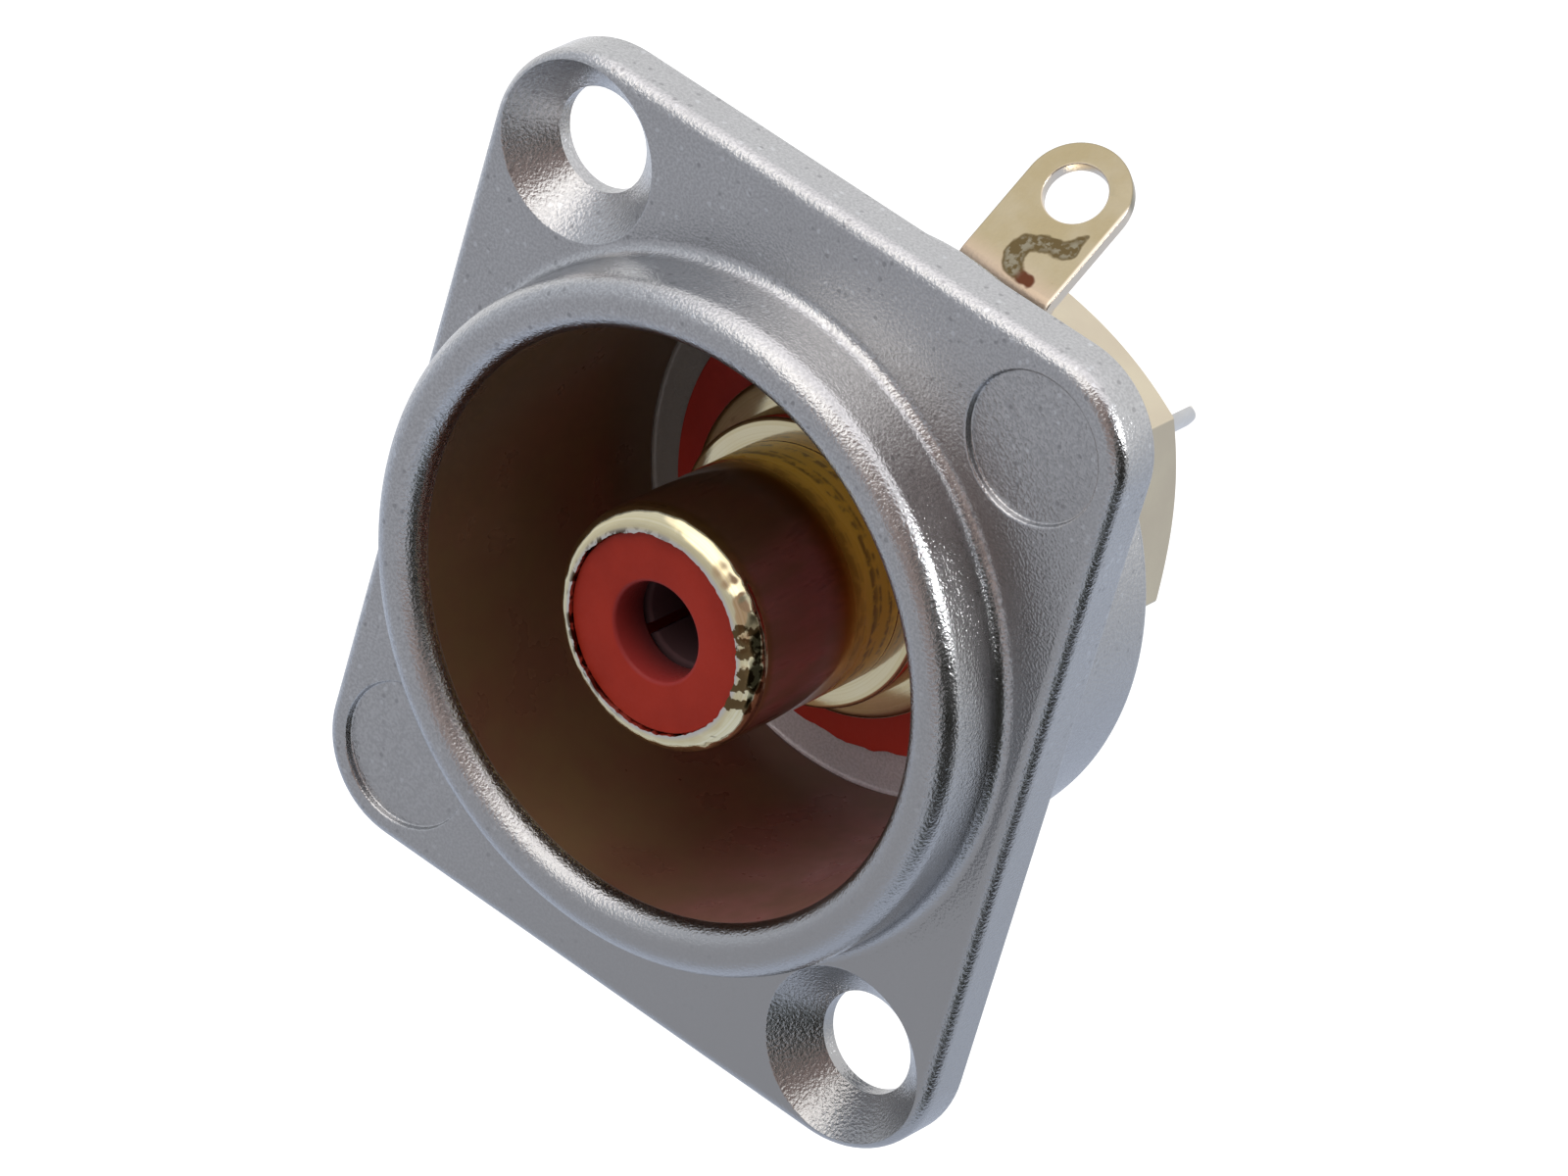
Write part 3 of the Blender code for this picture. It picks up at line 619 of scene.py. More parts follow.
def satin_zinc():
    """Satin nickel over a die casting: pebbly outside and painted darker towards the lower right as shade,
    with a lining down the cup's wall that carries painted reflections and painted light.
    """
    made, tree, shader = material("satin_zinc")
    grain = place(tree, "cast_grain", size=0.1, fineness=2.0)
    patches = place(tree, "smudges", size=3.0)["Amount"]
    mottle = place(tree, "cast_grain", size=0.5, fineness=3.0)["Height"]
    spots = place(tree, "specks", size=0.26, share=0.08)
    cup = place(tree, "cup_lining")
    skin = blend(tree, grain["Shade"], ZINC_DARK, ZINC_LIGHT)
    skin = blend(tree, times(tree, patches, 0.25), skin, ZINC_PATCH)
    skin = blend(tree, times(tree, spots["Dark"], 0.5), skin, ZINC_PIT)
    skin = blend(tree, times(tree, spots["Light"], 0.4), skin, ZINC_GLINT)
    # Painted shade: the zinc goes darker towards the lower right.
    skin = blend(tree, cup["Lower right"], skin, ZINC_PAINTED_SHADE)
    # Painted light: the bare cup floor goes lighter towards the lower right.
    ground = blend(tree, ramp(tree, cup["Lower right"], 0.1, 0.45), CUP_FLOOR_DARK, CUP_FLOOR_PAINTED_LIGHT)
    ground = blend(tree, times(tree, grain["Shade"], 0.25), ground, CUP_FLOOR_DARK)
    skin = blend(tree, cup["Floor"], skin, ground)
    # The lining's colours are painted reflections of the gold barrel and red washers, brown going maroon
    # towards the bottom, with painted light in purple towards the right.
    lining_and_reflections = blend(tree, cup["Low"], CUP_BROWN_WITH_REFLECTION, CUP_MAROON_REFLECTION)
    lining_and_reflections = blend(tree, cup["Right"], lining_and_reflections, CUP_PURPLE_PAINTED_LIGHT)
    lining_and_reflections = blend(tree, times(tree, patches, 0.55), lining_and_reflections, CUP_OLIVE)
    lining_and_reflections = blend(tree, times(tree, mottle, 0.5), lining_and_reflections, CUP_DARK)
    metal = calc(tree, "SUBTRACT", between(tree, cup["Mask"], 1.0, 0.3), times(tree, cup["Floor"], 0.8))
    rough = calc(tree, "ADD", between(tree, patches, *ZINC_ROUGH), times(tree, cup["Mask"], 0.08))
    rough = calc(tree, "ADD", rough, times(tree, cup["Floor"], 0.2))
    join(tree, shader, base_color=blend(tree, cup["Mask"], skin, lining_and_reflections), metallic=metal, roughness=rough)
    raise_bumps(tree, shader, times(tree, grain["Height"], between(tree, cup["Mask"], 1.0, 0.0)), ZINC_DEPTH)
    return made


def barrel_colours(tree, colour, where, soil):
    """Colour along the barrel, amber and then streaky yellow towards its root as a painted reflection, and
    the root's share.
    """
    rings = place(tree, "turning_marks", pitch=0.42)["Height"]
    ahead = ramp(tree, where["Along"], PLUG_STOP - 0.06, PLUG_STOP - 0.03, 1.0, 0.0)
    wall = ramp(tree, where["Along"], LIP_DENTS, LIP_DENTS + 0.4)
    # Painted reflection: amber and then yellow towards the barrel's root.
    amber_reflection = ramp(tree, where["Along"], BARREL_ROOT[0] - 0.9, BARREL_ROOT[0] + 0.3)
    root = times(tree, ramp(tree, where["Along"], *BARREL_ROOT), ahead, 0.9)
    streaks = times(tree, ramp(tree, rings, 0.45, 0.62), ramp(tree, soil, 0.38, 0.58))
    colour = blend(tree, times(tree, wall, ahead), colour, BARREL_WALL)
    colour = blend(tree, times(tree, amber_reflection, ahead), colour, BARREL_AMBER_REFLECTION)
    colour = blend(tree, root, colour, BARREL_YELLOW_REFLECTION)
    return blend(tree, times(tree, streaks, root), colour, BARREL_STREAK), root


def lip_colours(tree, colour, where, soil, lip):
    """Colour of the lip: a painted highlight along its inner edge, dirt along it on the left and a painted
    dark reflection on the right.
    """
    x, _, z = places(tree)
    spots = place(tree, "specks", size=0.36, share=0.34)["Dark"]
    # Painted highlight: a pale ring along the lip's inner edge.
    edge_highlight = ramp(tree, where["Radius"], LIP_EDGE + 0.02, LIP_EDGE + 0.2, 0.9, 0.0)
    toward_right = calc(tree, "DIVIDE", calc(tree, "MULTIPLY_ADD", z, 0.2, x), where["Radius"])
    # Painted reflection: a dark patch on the lip's right side.
    patch = calc(tree, "MULTIPLY_ADD", ramp(tree, toward_right, 0.84, 0.97), 0.32, soil)
    inner = ramp(tree, where["Radius"], LIP_EDGE + 0.02, LIP_EDGE + 0.22, 1.0, 0.0)
    left = times(tree, inner, ramp(tree, x, 1.0, -3.0))
    dirt = calc(tree, "MAXIMUM", times(tree, ramp(tree, soil, 0.46, 0.54), left), times(tree, spots, left))
    colour = blend(tree, times(tree, edge_highlight, lip), colour, LIP_EDGE_HIGHLIGHT)
    colour = blend(tree, times(tree, ramp(tree, patch, 0.77, 0.83), lip), colour, LIP_DARK_REFLECTION)
    return blend(tree, times(tree, dirt, lip), colour, LIP_DIRT)


def jack_gold():
    """Bright gold plating over turned brass. The rolled lip is dented and dirty, with a painted highlight and
    a painted reflection, and the barrel's root is painted yellow as a reflection.
    """
    made, tree, shader = material("jack_gold")
    lines = place(tree, "turning_marks", pitch=0.07)
    patches = place(tree, "smudges", size=2.2)["Amount"]
    dents = place(tree, "cast_grain", size=0.8, fineness=1.0)["Height"]
    soil = place(tree, "cast_grain", size=0.4, fineness=3.0)["Height"]
    where = place(tree, "about_axis")
    lip = ramp(tree, where["Along"], LIP_DENTS - 0.2, LIP_DENTS, 1.0, 0.0)
    colour = blend(tree, lines["Shade"], GOLD_DULL, GOLD_BRIGHT)
    colour = blend(tree, times(tree, patches, 0.3), colour, GOLD_PATCH)
    colour, root = barrel_colours(tree, colour, where, soil)
    colour = lip_colours(tree, colour, where, soil, lip)
    rough = calc(tree, "ADD", between(tree, patches, *GOLD_ROUGH), times(tree, root, 0.25))
    join(tree, shader, base_color=colour, metallic=ramp(tree, root, 0.0, 0.9, 1.0, 0.0), roughness=rough)
    depth = times(tree, lip, between(tree, ramp(tree, places(tree)[0], 1.2, 3.4), 0.25, 1.0))
    dented = times(tree, dents, depth, LIP_DENT_DEPTH)
    raise_bumps(tree, shader, calc(tree, "ADD", dented, times(tree, lines["Height"], GOLD_DEPTH)), 1.0)
    return made


def nut_gold():
    """Pale satin gold plating, with turning marks on the nut's chamfered face."""
    made, tree, shader = material("nut_gold", metallic=1.0)
    lines = place(tree, "turning_marks", pitch=0.12)
    turned_face = ramp(tree, place(tree, "about_axis")["Radius"], NUT_CHAMFER, NUT_FLAT - 0.05, 1.0, 0.0)
    patches = place(tree, "smudges", size=2.5)["Amount"]
    shade = times(tree, lines["Shade"], turned_face)
    colour = blend(tree, patches, *NUT_COLOURS)
    join(tree, shader, base_color=colour, roughness=between(tree, shade, *NUT_ROUGH))
    raise_bumps(tree, shader, times(tree, lines["Height"], turned_face), SATIN_DEPTH)
    return made


def past_spot(tree, here, centre, size):
    """Distance past a round spot's edge, in millimetres: negative inside it."""
    gap = add(tree, "ShaderNodeVectorMath", {0: here, 1: centre}, operation="DISTANCE").outputs["Value"]
    return calc(tree, "SUBTRACT", gap, size)


def tag_stain(tree, here):
    """Where the tag is stained, and the colour there: brown, mottled with grey, and red at one end."""
    wander = place(tree, "cast_grain", size=0.5, fineness=2.0)["Height"]
    mottle = place(tree, "cast_grain", size=0.24, fineness=2.0)["Shade"]
    gaps = [past_spot(tree, here, centre, size) for centre, size in STAIN_SPOTS]
    stain = gaps[0]
    for gap in gaps[1:]:
        stain = calc(tree, "SMOOTH_MIN", stain, gap, STAIN_BLEND)
    ragged = times(tree, calc(tree, "SUBTRACT", wander, 0.5), STAIN_RAGGED)
    stain = calc(tree, "ADD", stain, ragged)
    core = times(tree, ramp(tree, stain, -0.20, 0.0, 1.0, 0.0), ramp(tree, mottle, 0.2, 0.9))
    red = ramp(tree, past_spot(tree, here, STAIN_RED_AT, 0.0), 0.25, 0.6, 1.0, 0.0)
    burnt = blend(tree, red, blend(tree, core, STAIN_DARK, STAIN_GREY), STAIN_RED)
    return ramp(tree, stain, -0.06, 0.04, 1.0, 0.0), burnt


def tag_gold():
    """Satin gold on sheet metal, with the brown stain that heat or solder has left above the bend, and
    painted highlights on its right edge and the hole's wall.
    """
    made, tree, shader = material("tag_gold", metallic=1.0)
    grain = place(tree, "cast_grain", size=0.12, fineness=2.0)
    patches = place(tree, "smudges", size=1.6)["Amount"]
    here = millimetres(tree)
    x, _, z = places(tree)
    stained, burnt = tag_stain(tree, here)
    colour = blend(tree, patches, TAG_WARM, TAG_PALE)
    colour = blend(tree, ramp(tree, z, 9.4, 8.6), colour, TAG_PINK)
    # Painted highlight along the tag's right edge and round the wall of its hole.
    sides = ramp(tree, x, TAG_HALF_WIDTH - 0.16, TAG_HALF_WIDTH - 0.04)
    wall = ramp(tree, past_spot(tree, here, TAG_HOLE_CENTRE, TAG_HOLE), 0.02, 0.09, 1.0, 0.0)
    colour = blend(tree, wall, blend(tree, sides, colour, TAG_EDGE_HIGHLIGHT), TAG_EDGE_HIGHLIGHT)
    rough = between(tree, stained, *TAG_ROUGH)
    join(tree, shader, base_color=blend(tree, stained, colour, burnt), roughness=rough)
    raise_bumps(tree, shader, grain["Height"], TAG_DEPTH)
    return made


def grained(name, grain_size, patch_size, colours, rough, depth, **constants):
    """Finish with a fine grain and slow patches of two colours, and its tree, shader and colour."""
    made, tree, shader = material(name, **constants)
    grain = place(tree, "cast_grain", size=grain_size)
    colour = blend(tree, place(tree, "smudges", size=patch_size)["Amount"], *colours)
    join(tree, shader, base_color=colour, roughness=between(tree, grain["Shade"], *rough))
    raise_bumps(tree, shader, grain["Height"], depth)
    return made, tree, shader, colour


def moulded_red():
    """Slightly glossy red moulding, with painted shade down the pin's hole."""
    finish = ("moulded_red", 0.1, 1.8, RED_COLOURS, RED_ROUGH, SATIN_DEPTH)
    made, tree, shader, colour = grained(*finish, specular_ior_level=0.2)
    where = place(tree, "about_axis")
    bore = ramp(tree, where["Radius"], PIN_HOLE + PIN_HOLE_ROUND, PIN_HOLE + 0.04)
    # Painted shade: the bore goes dark with depth down the pin's hole.
    deep = ramp(tree, where["Along"], NOSE_FACE + 0.15, NOSE_FACE + 2.2)
    deep = times(tree, deep, ramp(tree, where["Along"], NOSE_REAR, NOSE_REAR + 0.5, 1.0, 0.0))
    colour = blend(tree, bore, colour, HOLE_RED)
    join(tree, shader, base_color=blend(tree, times(tree, bore, deep), colour, HOLE_PAINTED_SHADE))
    return made


def washer_red():
    """Duller red of the stamped washers, lit more towards the lower right."""
    finish = ("washer_red", 0.18, 2.4, WASHER_COLOURS, WASHER_ROUGH, WASHER_DEPTH)
    made, tree, shader, colour = grained(*finish, specular_ior_level=0.4)
    lit = ramp(tree, place(tree, "cup_lining")["Lower right"], 0.15, 0.6)
    join(tree, shader, base_color=blend(tree, lit, colour, WASHER_LIT))
    return made


def spring_steel():
    """Plated spring steel of the toothed washer."""
    return grained("spring_steel", 0.1, 1.2, STEEL_COLOURS, STEEL_ROUGH, SATIN_DEPTH, metallic=1.0)[0]


def tinned_brass():
    """Tin plating on the contact and its solder tail, with painted shade where it lies within the nose."""
    made, tree, shader = material("tinned_brass", specular_ior_level=0.1)
    lines = place(tree, "turning_marks", pitch=0.09)
    patches = place(tree, "smudges", size=1.2)["Amount"]
    within = ramp(tree, place(tree, "about_axis")["Along"], NOSE_REAR - 1.0, NOSE_REAR, 1.0, 0.0)
    # Painted shade: dark, rough and less metallic where the contact lies within the nose.
    colour = blend(tree, within, blend(tree, patches, *TIN_COLOURS), TIN_PAINTED_SHADE)
    rough = calc(tree, "ADD", between(tree, lines["Shade"], *TIN_ROUGH), times(tree, within, 0.55))
    metal = calc(tree, "SUBTRACT", 1.0, within)
    join(tree, shader, base_color=colour, metallic=metal, roughness=rough)
    raise_bumps(tree, shader, lines["Height"], TIN_DEPTH)
    return made


# Housing


def flange_outline():
    """Rounded rectangle, counter-clockwise: the screw corners have the larger radius."""
    width, height = FLANGE_WIDTH / 2, FLANGE_HEIGHT / 2
    corners = ((1, -1, SCREW_CORNER), (1, 1, PLAIN_CORNER), (-1, 1, SCREW_CORNER), (-1, -1, PLAIN_CORNER))
    points = []
    for i, (right, top, radius) in enumerate(corners):
        centre = (right * (width - radius), top * (height - radius))
        start = (i - 1) * math.pi / 2
        points.extend(arc(centre, radius, start, start + math.pi / 2, 20))
    return points


def flange():
    """Plate with its rounded front edge."""
    edge = flange_outline()
    small = FLANGE_REAR_ROUND
    rings = []
    for depth, y in arc((small, -small), small, math.pi / 2, math.pi, 3):
        rings.append((y, inset(edge, depth)))
    middle = (FLANGE_ROUND, FLANGE_FRONT + FLANGE_ROUND)
    for depth, y in arc(middle, FLANGE_ROUND, math.pi, 1.5 * math.pi, 10):
        rings.append((y, inset(edge, depth)))
    return layered("housing_casting", rings)


def cup_outline():
    """Rim bead, collar with its foot, rear tube, boss, floor and tapered wall."""
    sunk = FLANGE_FRONT / 2
    bead_y = RIM_FRONT + BEAD
    bead = arc((COLLAR - BEAD, bead_y), BEAD, math.pi, 2 * math.pi, 24)
    foot = arc((COLLAR + COLLAR_FILLET, FLANGE_FRONT - COLLAR_FILLET), COLLAR_FILLET, math.pi, math.pi / 2, 8)
    body = outline(
        (COLLAR + COLLAR_FILLET, sunk),
        (TUBE, sunk),
        (TUBE, TUBE_REAR, TUBE_ROUND),
        (BOSS, TUBE_REAR),
        (BOSS, BOSS_REAR, EDGE_BREAK),
        (FLOOR_HOLE, BOSS_REAR, EDGE_BREAK),
        (FLOOR_HOLE, CUP_FLOOR, EDGE_BREAK),
        (CUP_FLOOR_RADIUS, CUP_FLOOR, FLOOR_FILLET),
        (MOUTH, bead_y),
    )
    return bead + foot + body[:-1]


def broken_mouth(rim_radius, before):
    """Tool outline where its wall meets the flange's front face, with the edge broken."""
    corner = (rim_radius, FLANGE_FRONT)
    bend = rounded_corner(before, corner, (rim_radius + 1, FLANGE_FRONT), EDGE_BREAK)
    return bend + [(bend[-1][0], FLANGE_FRONT - OVERRUN), (0, FLANGE_FRONT - OVERRUN)]


def screw_tool(side):
    """Hole with its countersink."""
    wall = [(0, OVERRUN), (SCREW_HOLE, OVERRUN), (SCREW_HOLE, SCREW_LAND)]
    tool = turned("screw_tool", wall + broken_mouth(COUNTERSINK, wall[-1]), TOOL_SEGMENTS)
    return moved(tool, side * SCREW_AT[0], -side * SCREW_AT[1])


def recess_tool(side):
    """Shallow round recess with a soft floor corner."""
    floor = FLANGE_FRONT + RECESS_DEPTH
    bend = rounded_corner((0, floor), (RECESS, floor), (RECESS, floor - 1), RECESS_FILLET)
    points = [(0, floor)] + bend + broken_mouth(RECESS, (RECESS, floor))
    return moved(turned("recess_tool", points, TOOL_SEGMENTS), side * RECESS_AT[0], side * RECESS_AT[1])


def housing():
    """Die-cast flange with collar, cup and rear tube."""
    casting = flange()
    inside = (MOUTH + TUBE) / 2
    hole = [(0, OVERRUN), (inside, OVERRUN), (inside, FLANGE_FRONT - OVERRUN), (0, FLANGE_FRONT - OVERRUN)]
    combine(casting, turned("opening", hole, 256))
    combine(casting, turned("cup", cup_outline(), 256), "UNION")
    for side in (-1, 1):
        combine(casting, screw_tool(side))
        combine(casting, recess_tool(side))
    dress(casting, "housing", satin_zinc())


# Jack


def groove(angle, y):
    """Share of a thread's depth at a place on it."""
    turn = (y / THREAD_PITCH - angle / (2 * math.pi)) % 1.0
    return 1 - abs(2 * turn - 1)


def uneven(angle, slow, fast):
    """Uneven outline round the axis, of a slow and a fast wave given as (how often, how far)."""
    spoke = Vector((math.cos(angle), math.sin(angle), 0.0))
    return noise.noise(spoke * slow[0]) * slow[1] + noise.noise(spoke * fast[0]) * fast[1]


def rolled_lip(angle, radius, y):
    """A lip rolled over a little unevenly, and the thread on the shank."""
    if y > SHOULDER_REAR + THREAD_START - THREAD_STEP / 2 and abs(radius - SHANK) < SAME_RADIUS:
        return radius - THREAD_DEPTH * groove(angle, y), y
    if y < NOSE + LIP_LENGTH and radius < LIP_EDGE + LIP_TORN:
        closeness = max(0.0, 1 - (radius - LIP_EDGE) / LIP_TORN)
        return radius + uneven(angle, (5.0, 0.05), (19.0, 0.06)) * closeness, y
    return radius, y


def jack_shell():
    """Lip, barrel, plug stop, shoulder and threaded shank."""
    centre = (BARREL - LIP_ROUND, NOSE + LIP_ROUND)
    lip_start = -math.acos((LIP_EDGE - centre[0]) / LIP_ROUND)
    lip = arc(centre, LIP_ROUND, lip_start, 0, 24)
    front = outline(
        (BARREL, PLUG_STOP - 0.04),
        (BARREL - 0.03, PLUG_STOP),
        (PLUG_STOP_RADIUS, PLUG_STOP, 0.15),
        (PLUG_STOP_RADIUS, SHOULDER),
        (SHOULDER_RADIUS, SHOULDER, 0.3),
        (SHOULDER_RADIUS, SHOULDER_REAR, 0.3),
        (SHANK - THREAD_DEPTH, SHOULDER_REAR),
    )
    steps = int((SHANK_REAR - THREAD_START - SHOULDER_REAR - THREAD_START) / THREAD_STEP)
    start = SHOULDER_REAR + THREAD_START
    shank = [(SHANK, start + THREAD_STEP * i) for i in range(steps + 1)]
    rear = outline(
        (SHANK - THREAD_START, SHANK_REAR),
        (SHELL_BORE, SHANK_REAR),
        (SHELL_BORE, NOSE + LIP_LENGTH),
        (LIP_EDGE, NOSE + 0.25),
    )
    first = [(SHANK - THREAD_DEPTH, start - THREAD_STEP)]
    shell = turned("jack_shell_turned", lip + front + first + shank + rear, 192, rolled_lip)
    dress(shell, "jack_shell", jack_gold())


def nose_insulator():
    """Red sleeve whose face holds the pin's hole."""
    room = CONTACT_FRONT - SEAT_GAP
    points = outline(
        (PIN_HOLE, NOSE_FACE, PIN_HOLE_ROUND),
        (LIP_EDGE - 0.02, NOSE_FACE, 0.05),
        (INSULATOR, NOSE_FACE + 0.3),
        (INSULATOR, NOSE_REAR),
        (CONTACT_ROOM, NOSE_REAR),
        (CONTACT_ROOM, room),
        (PIN_HOLE, room, 0.05),
    )
    dress(turned("nose_insulator_moulded", points, 160), "nose_insulator", moulded_red())


def centre_contact():
    """Sprung fingers, flange, and a stem milled flat as a solder tail."""
    flange_radius, front, rear = CONTACT_FLANGE
    points = outline(
        (0, CONTACT_BORE_END),
        (CONTACT_BORE, CONTACT_BORE_END),
        (CONTACT_BORE, CONTACT_FRONT, 0.12),
        (CONTACT, CONTACT_FRONT, 0.12),
        (CONTACT, front),
        (flange_radius, front, 0.08),
        (flange_radius, rear, 0.08),
        (STEM, rear),
        (STEM, TAIL_TIP, 0.15),
        (0, TAIL_TIP),
    )
    contact = turned("centre_contact_turned", points, 96)
    for turn in (math.pi / 4, -math.pi / 4):
        slot = box_tool((-3, CONTACT_FRONT - OVERRUN, -SLOT_HALF), (3, SLOT_END, SLOT_HALF), turn)
        combine(contact, slot)
    combine(contact, box_tool((-3, TAIL, -3), (TAIL_FLAT, TAIL_TIP + OVERRUN, 3), TAIL_TURN))
    combine(contact, tail_end_tool())
    broken_edges(contact, 0.12, lambda point: point.y > (TAIL_TIP - 2.0) * MM)
    dress(contact, "centre_contact", tinned_brass())


def tail_end_tool():
    """Block with a round notch, which leaves the flat tail with a rounded end."""
    middle = TAIL_TIP - TAIL_TIP_ROUND
    notch = arc((0, middle), TAIL_TIP_ROUND, 0, math.pi, 32)
    sides = [(-3, middle), (-3, TAIL_TIP + OVERRUN), (3, TAIL_TIP + OVERRUN), (3, middle)]
    tool = layered("tail_end", [(TAIL_FLAT - OVERRUN, notch + sides), (3, notch + sides)])
    upright = Matrix.Rotation(-math.pi / 2, 4, "X")
    tool.data.transform(Matrix.Rotation(TAIL_TURN - math.pi / 2, 4, "Y") @ upright)
    return tool


def rear_insulator():
    """Bush that closes the shank."""
    inner = STEM + BORE_GAP
    front, rear = BUSH
    points = outline((inner, front), (INSULATOR, front), (INSULATOR, rear, 0.2), (inner, rear, 0.08))
    bush = turned("rear_insulator_moulded", points, 128)
    dress(bush, "rear_insulator", bpy.data.materials["moulded_red"])


# Stack on the shank


def torn_edge(angle, radius, y):
    """Ragged stamped edge towards the lower right."""
    if radius < FRONT_WASHER[0] - 0.2:
        return radius, y
    low_right = max(0.0, math.cos(angle + math.radians(45)))
    return radius - low_right * (WASHER_TORN + uneven(angle, (9.0, 0.12), (26.0, 0.07))), y


def front_insulating_washer():
    """Thin washer in the cup."""
    radius, front, rear = FRONT_WASHER
    shoulder, end = WASHER_SHOULDER
    points = outline(
        (SHANK_HOLE, front),
        (radius, front, 0.08),
        (radius, rear),
        (shoulder, rear),
        (shoulder, end),
        (SHANK_HOLE, end),
    )
    washer = turned("front_washer_stamped", points, 256, torn_edge)
    dress(washer, "front_insulating_washer", washer_red())


def rear_insulating_washer():
    """Flat washer behind the cup's boss."""
    radius, front, rear = REAR_WASHER
    rim = [(radius, front, 0.1), (radius, rear, 0.1)]
    points = outline((SHANK_HOLE, front), *rim, (SHANK_HOLE, rear, 0.1))
    washer = turned("rear_washer_stamped", points, 192)
    dress(washer, "rear_insulating_washer", bpy.data.materials["washer_red"])


def drill(radius, front, rear, height=0):
    """Round tool past both faces of a sheet, at a height above the axis."""
    points = [(0, front - OVERRUN), (radius, front - OVERRUN), (radius, rear + OVERRUN), (0, rear + OVERRUN)]
    return moved(turned("drill", points, TOOL_SEGMENTS), 0, height)


def broken_edges(piece, width, chosen=lambda point: True, steps=3):
    """Breaks the piece's sharp edges, of those whose middle is chosen."""
    bm = bmesh.new()
    bm.from_mesh(piece.data)
    sharp = []
    for edge in bm.edges:
        if edge.is_manifold and edge.calc_face_angle() > math.radians(60):
            if chosen((edge.verts[0].co + edge.verts[1].co) / 2):
                sharp.append(edge)
    bmesh.ops.bevel(
        bm, geom=sharp, offset=width * MM, segments=steps, profile=0.5, affect="EDGES", clamp_overlap=True
    )
    bm.to_mesh(piece.data)
    bm.free()
    shaded(piece.data)


def bent_back(point):
    """Where a point of the flat tag lies once the tab is bent back."""
    middle = (TAG[1] + TAG[2]) / 2
    along = point.z - TAG_BEND
    if along <= 0:
        return point
    angle = min(along / TAG_BEND_RADIUS, TAG_BEND_ANGLE)
    past = along - angle * TAG_BEND_RADIUS
    radius = TAG_BEND_RADIUS - (point.y - middle)
    y = middle + TAG_BEND_RADIUS - radius * math.cos(angle) + past * math.sin(angle)
    return Vector((point.x, y, TAG_BEND + radius * math.sin(angle) + past * math.cos(angle)))


def ground_tag():
    """Ring with a tab, cut flat and then bent back."""
    ring, front, rear = TAG
    bend_length = TAG_BEND_RADIUS * TAG_BEND_ANGLE
    hole_z = TAG_BEND + bend_length + TAG_HOLE_PAST_BEND
    neck = math.asin(TAG_HALF_WIDTH / ring)
    edge = arc((0, 0), ring, math.pi / 2 + neck, 2.5 * math.pi - neck, 120)
    edge += arc((0, hole_z), TAG_HALF_WIDTH, 0, math.pi, 48)
    tag = layered("ground_tag_stamped", [(front, edge), (rear, edge)])
    combine(tag, drill(SHANK_HOLE, front, rear))
    combine(tag, drill(TAG_HOLE, front, rear, hole_z))
    broken_edges(tag, 0.2, lambda point: point.y < (TAG[1] + 0.1) * MM, 5)
    broken_edges(tag, 0.05)
    bm = bmesh.new()
    bm.from_mesh(tag.data)
    for i in range(25):
        cut = (TAG_BEND + bend_length * i / 24) * MM
        everything = bm.verts[:] + bm.edges[:] + bm.faces[:]
        bmesh.ops.bisect_plane(bm, geom=everything, dist=WELD * MM, plane_co=(0, 0, cut), plane_no=(0, 0, 1))
    for vert in bm.verts:
        vert.co = bent_back(vert.co / MM) * MM
    bm.to_mesh(tag.data)
    bm.free()
    shaded(tag.data)
    dress(tag, "ground_tag", tag_gold())


def lock_washer():
    """Ring with twisted outer teeth."""
    root, tip, front, rear = LOCK_WASHER
    pitch = 2 * math.pi / LOCK_TEETH
    points = []
    for tooth in range(LOCK_TEETH):
        for share in TOOTH_ROOT + TOOTH_TIP:
            angle = (tooth + share) * pitch
            radius = root if share in TOOTH_ROOT else tip
            points.append((radius * math.cos(angle), radius * math.sin(angle)))
    washer = layered("lock_washer_stamped", [(front, points), (rear, points)])
    combine(washer, drill(SHANK_HOLE, front, rear))
    middle = pitch * TOOTH_TIP[1]
    reach = pitch * (TOOTH_TIP[2] - TOOTH_TIP[1])
    for vert in washer.data.vertices:
        if math.hypot(vert.co.x, vert.co.z) > (root + SAME_RADIUS) * MM:
            angle = math.atan2(vert.co.z, vert.co.x) % pitch
            vert.co.y += LOCK_TWIST * MM * max(-1.0, min(1.0, (angle - middle) / reach))
    broken_edges(washer, 0.03, steps=2)
    dress(washer, "lock_washer", spring_steel())


def hex_nut():
    """Hexagon nut with a chamfered rear and a threaded bore."""
    front, rear = NUT
    corner = NUT_FLAT / math.cos(math.pi / 6)
    blank = corner + OVERRUN
    chamfer_y = rear - (blank - NUT_CHAMFER) * math.tan(math.radians(30))
    mouth = NUT_BORE_MOUTH
    steps = int((rear - front - 2 * mouth) / NUT_THREAD_STEP)
    bore = [(SHANK_HOLE, rear - mouth - NUT_THREAD_STEP * i) for i in range(steps)]
    outside = [(SHANK_HOLE, front), (blank, front), (blank, chamfer_y)]
    face = [(NUT_CHAMFER, rear), (SHANK_HOLE + mouth, rear)]
    nut = turned("hex_nut_turned", outside + face + bore, 192, nut_thread)
    corners = arc((0, 0), corner, NUT_TURN, NUT_TURN + 2 * math.pi, 6)[:-1]
    hexagon = outline(*((*point, NUT_EDGE) for point in corners))
    bar = layered("nut_bar", [(front - OVERRUN, hexagon), (rear + OVERRUN, hexagon)])
    combine(nut, bar, "INTERSECT")
    dress(nut, "hex_nut", nut_gold())


def nut_thread(angle, radius, y):
    """The thread in the nut's bore."""
    threaded = NUT[0] + NUT_THREAD_ENDS[0] <= y <= NUT[1] - NUT_THREAD_ENDS[1]
    if abs(radius - SHANK_HOLE) > SAME_RADIUS or not threaded:
        return radius, y
    return radius - NUT_THREAD_DEPTH * groove(angle, y), y


# Studio


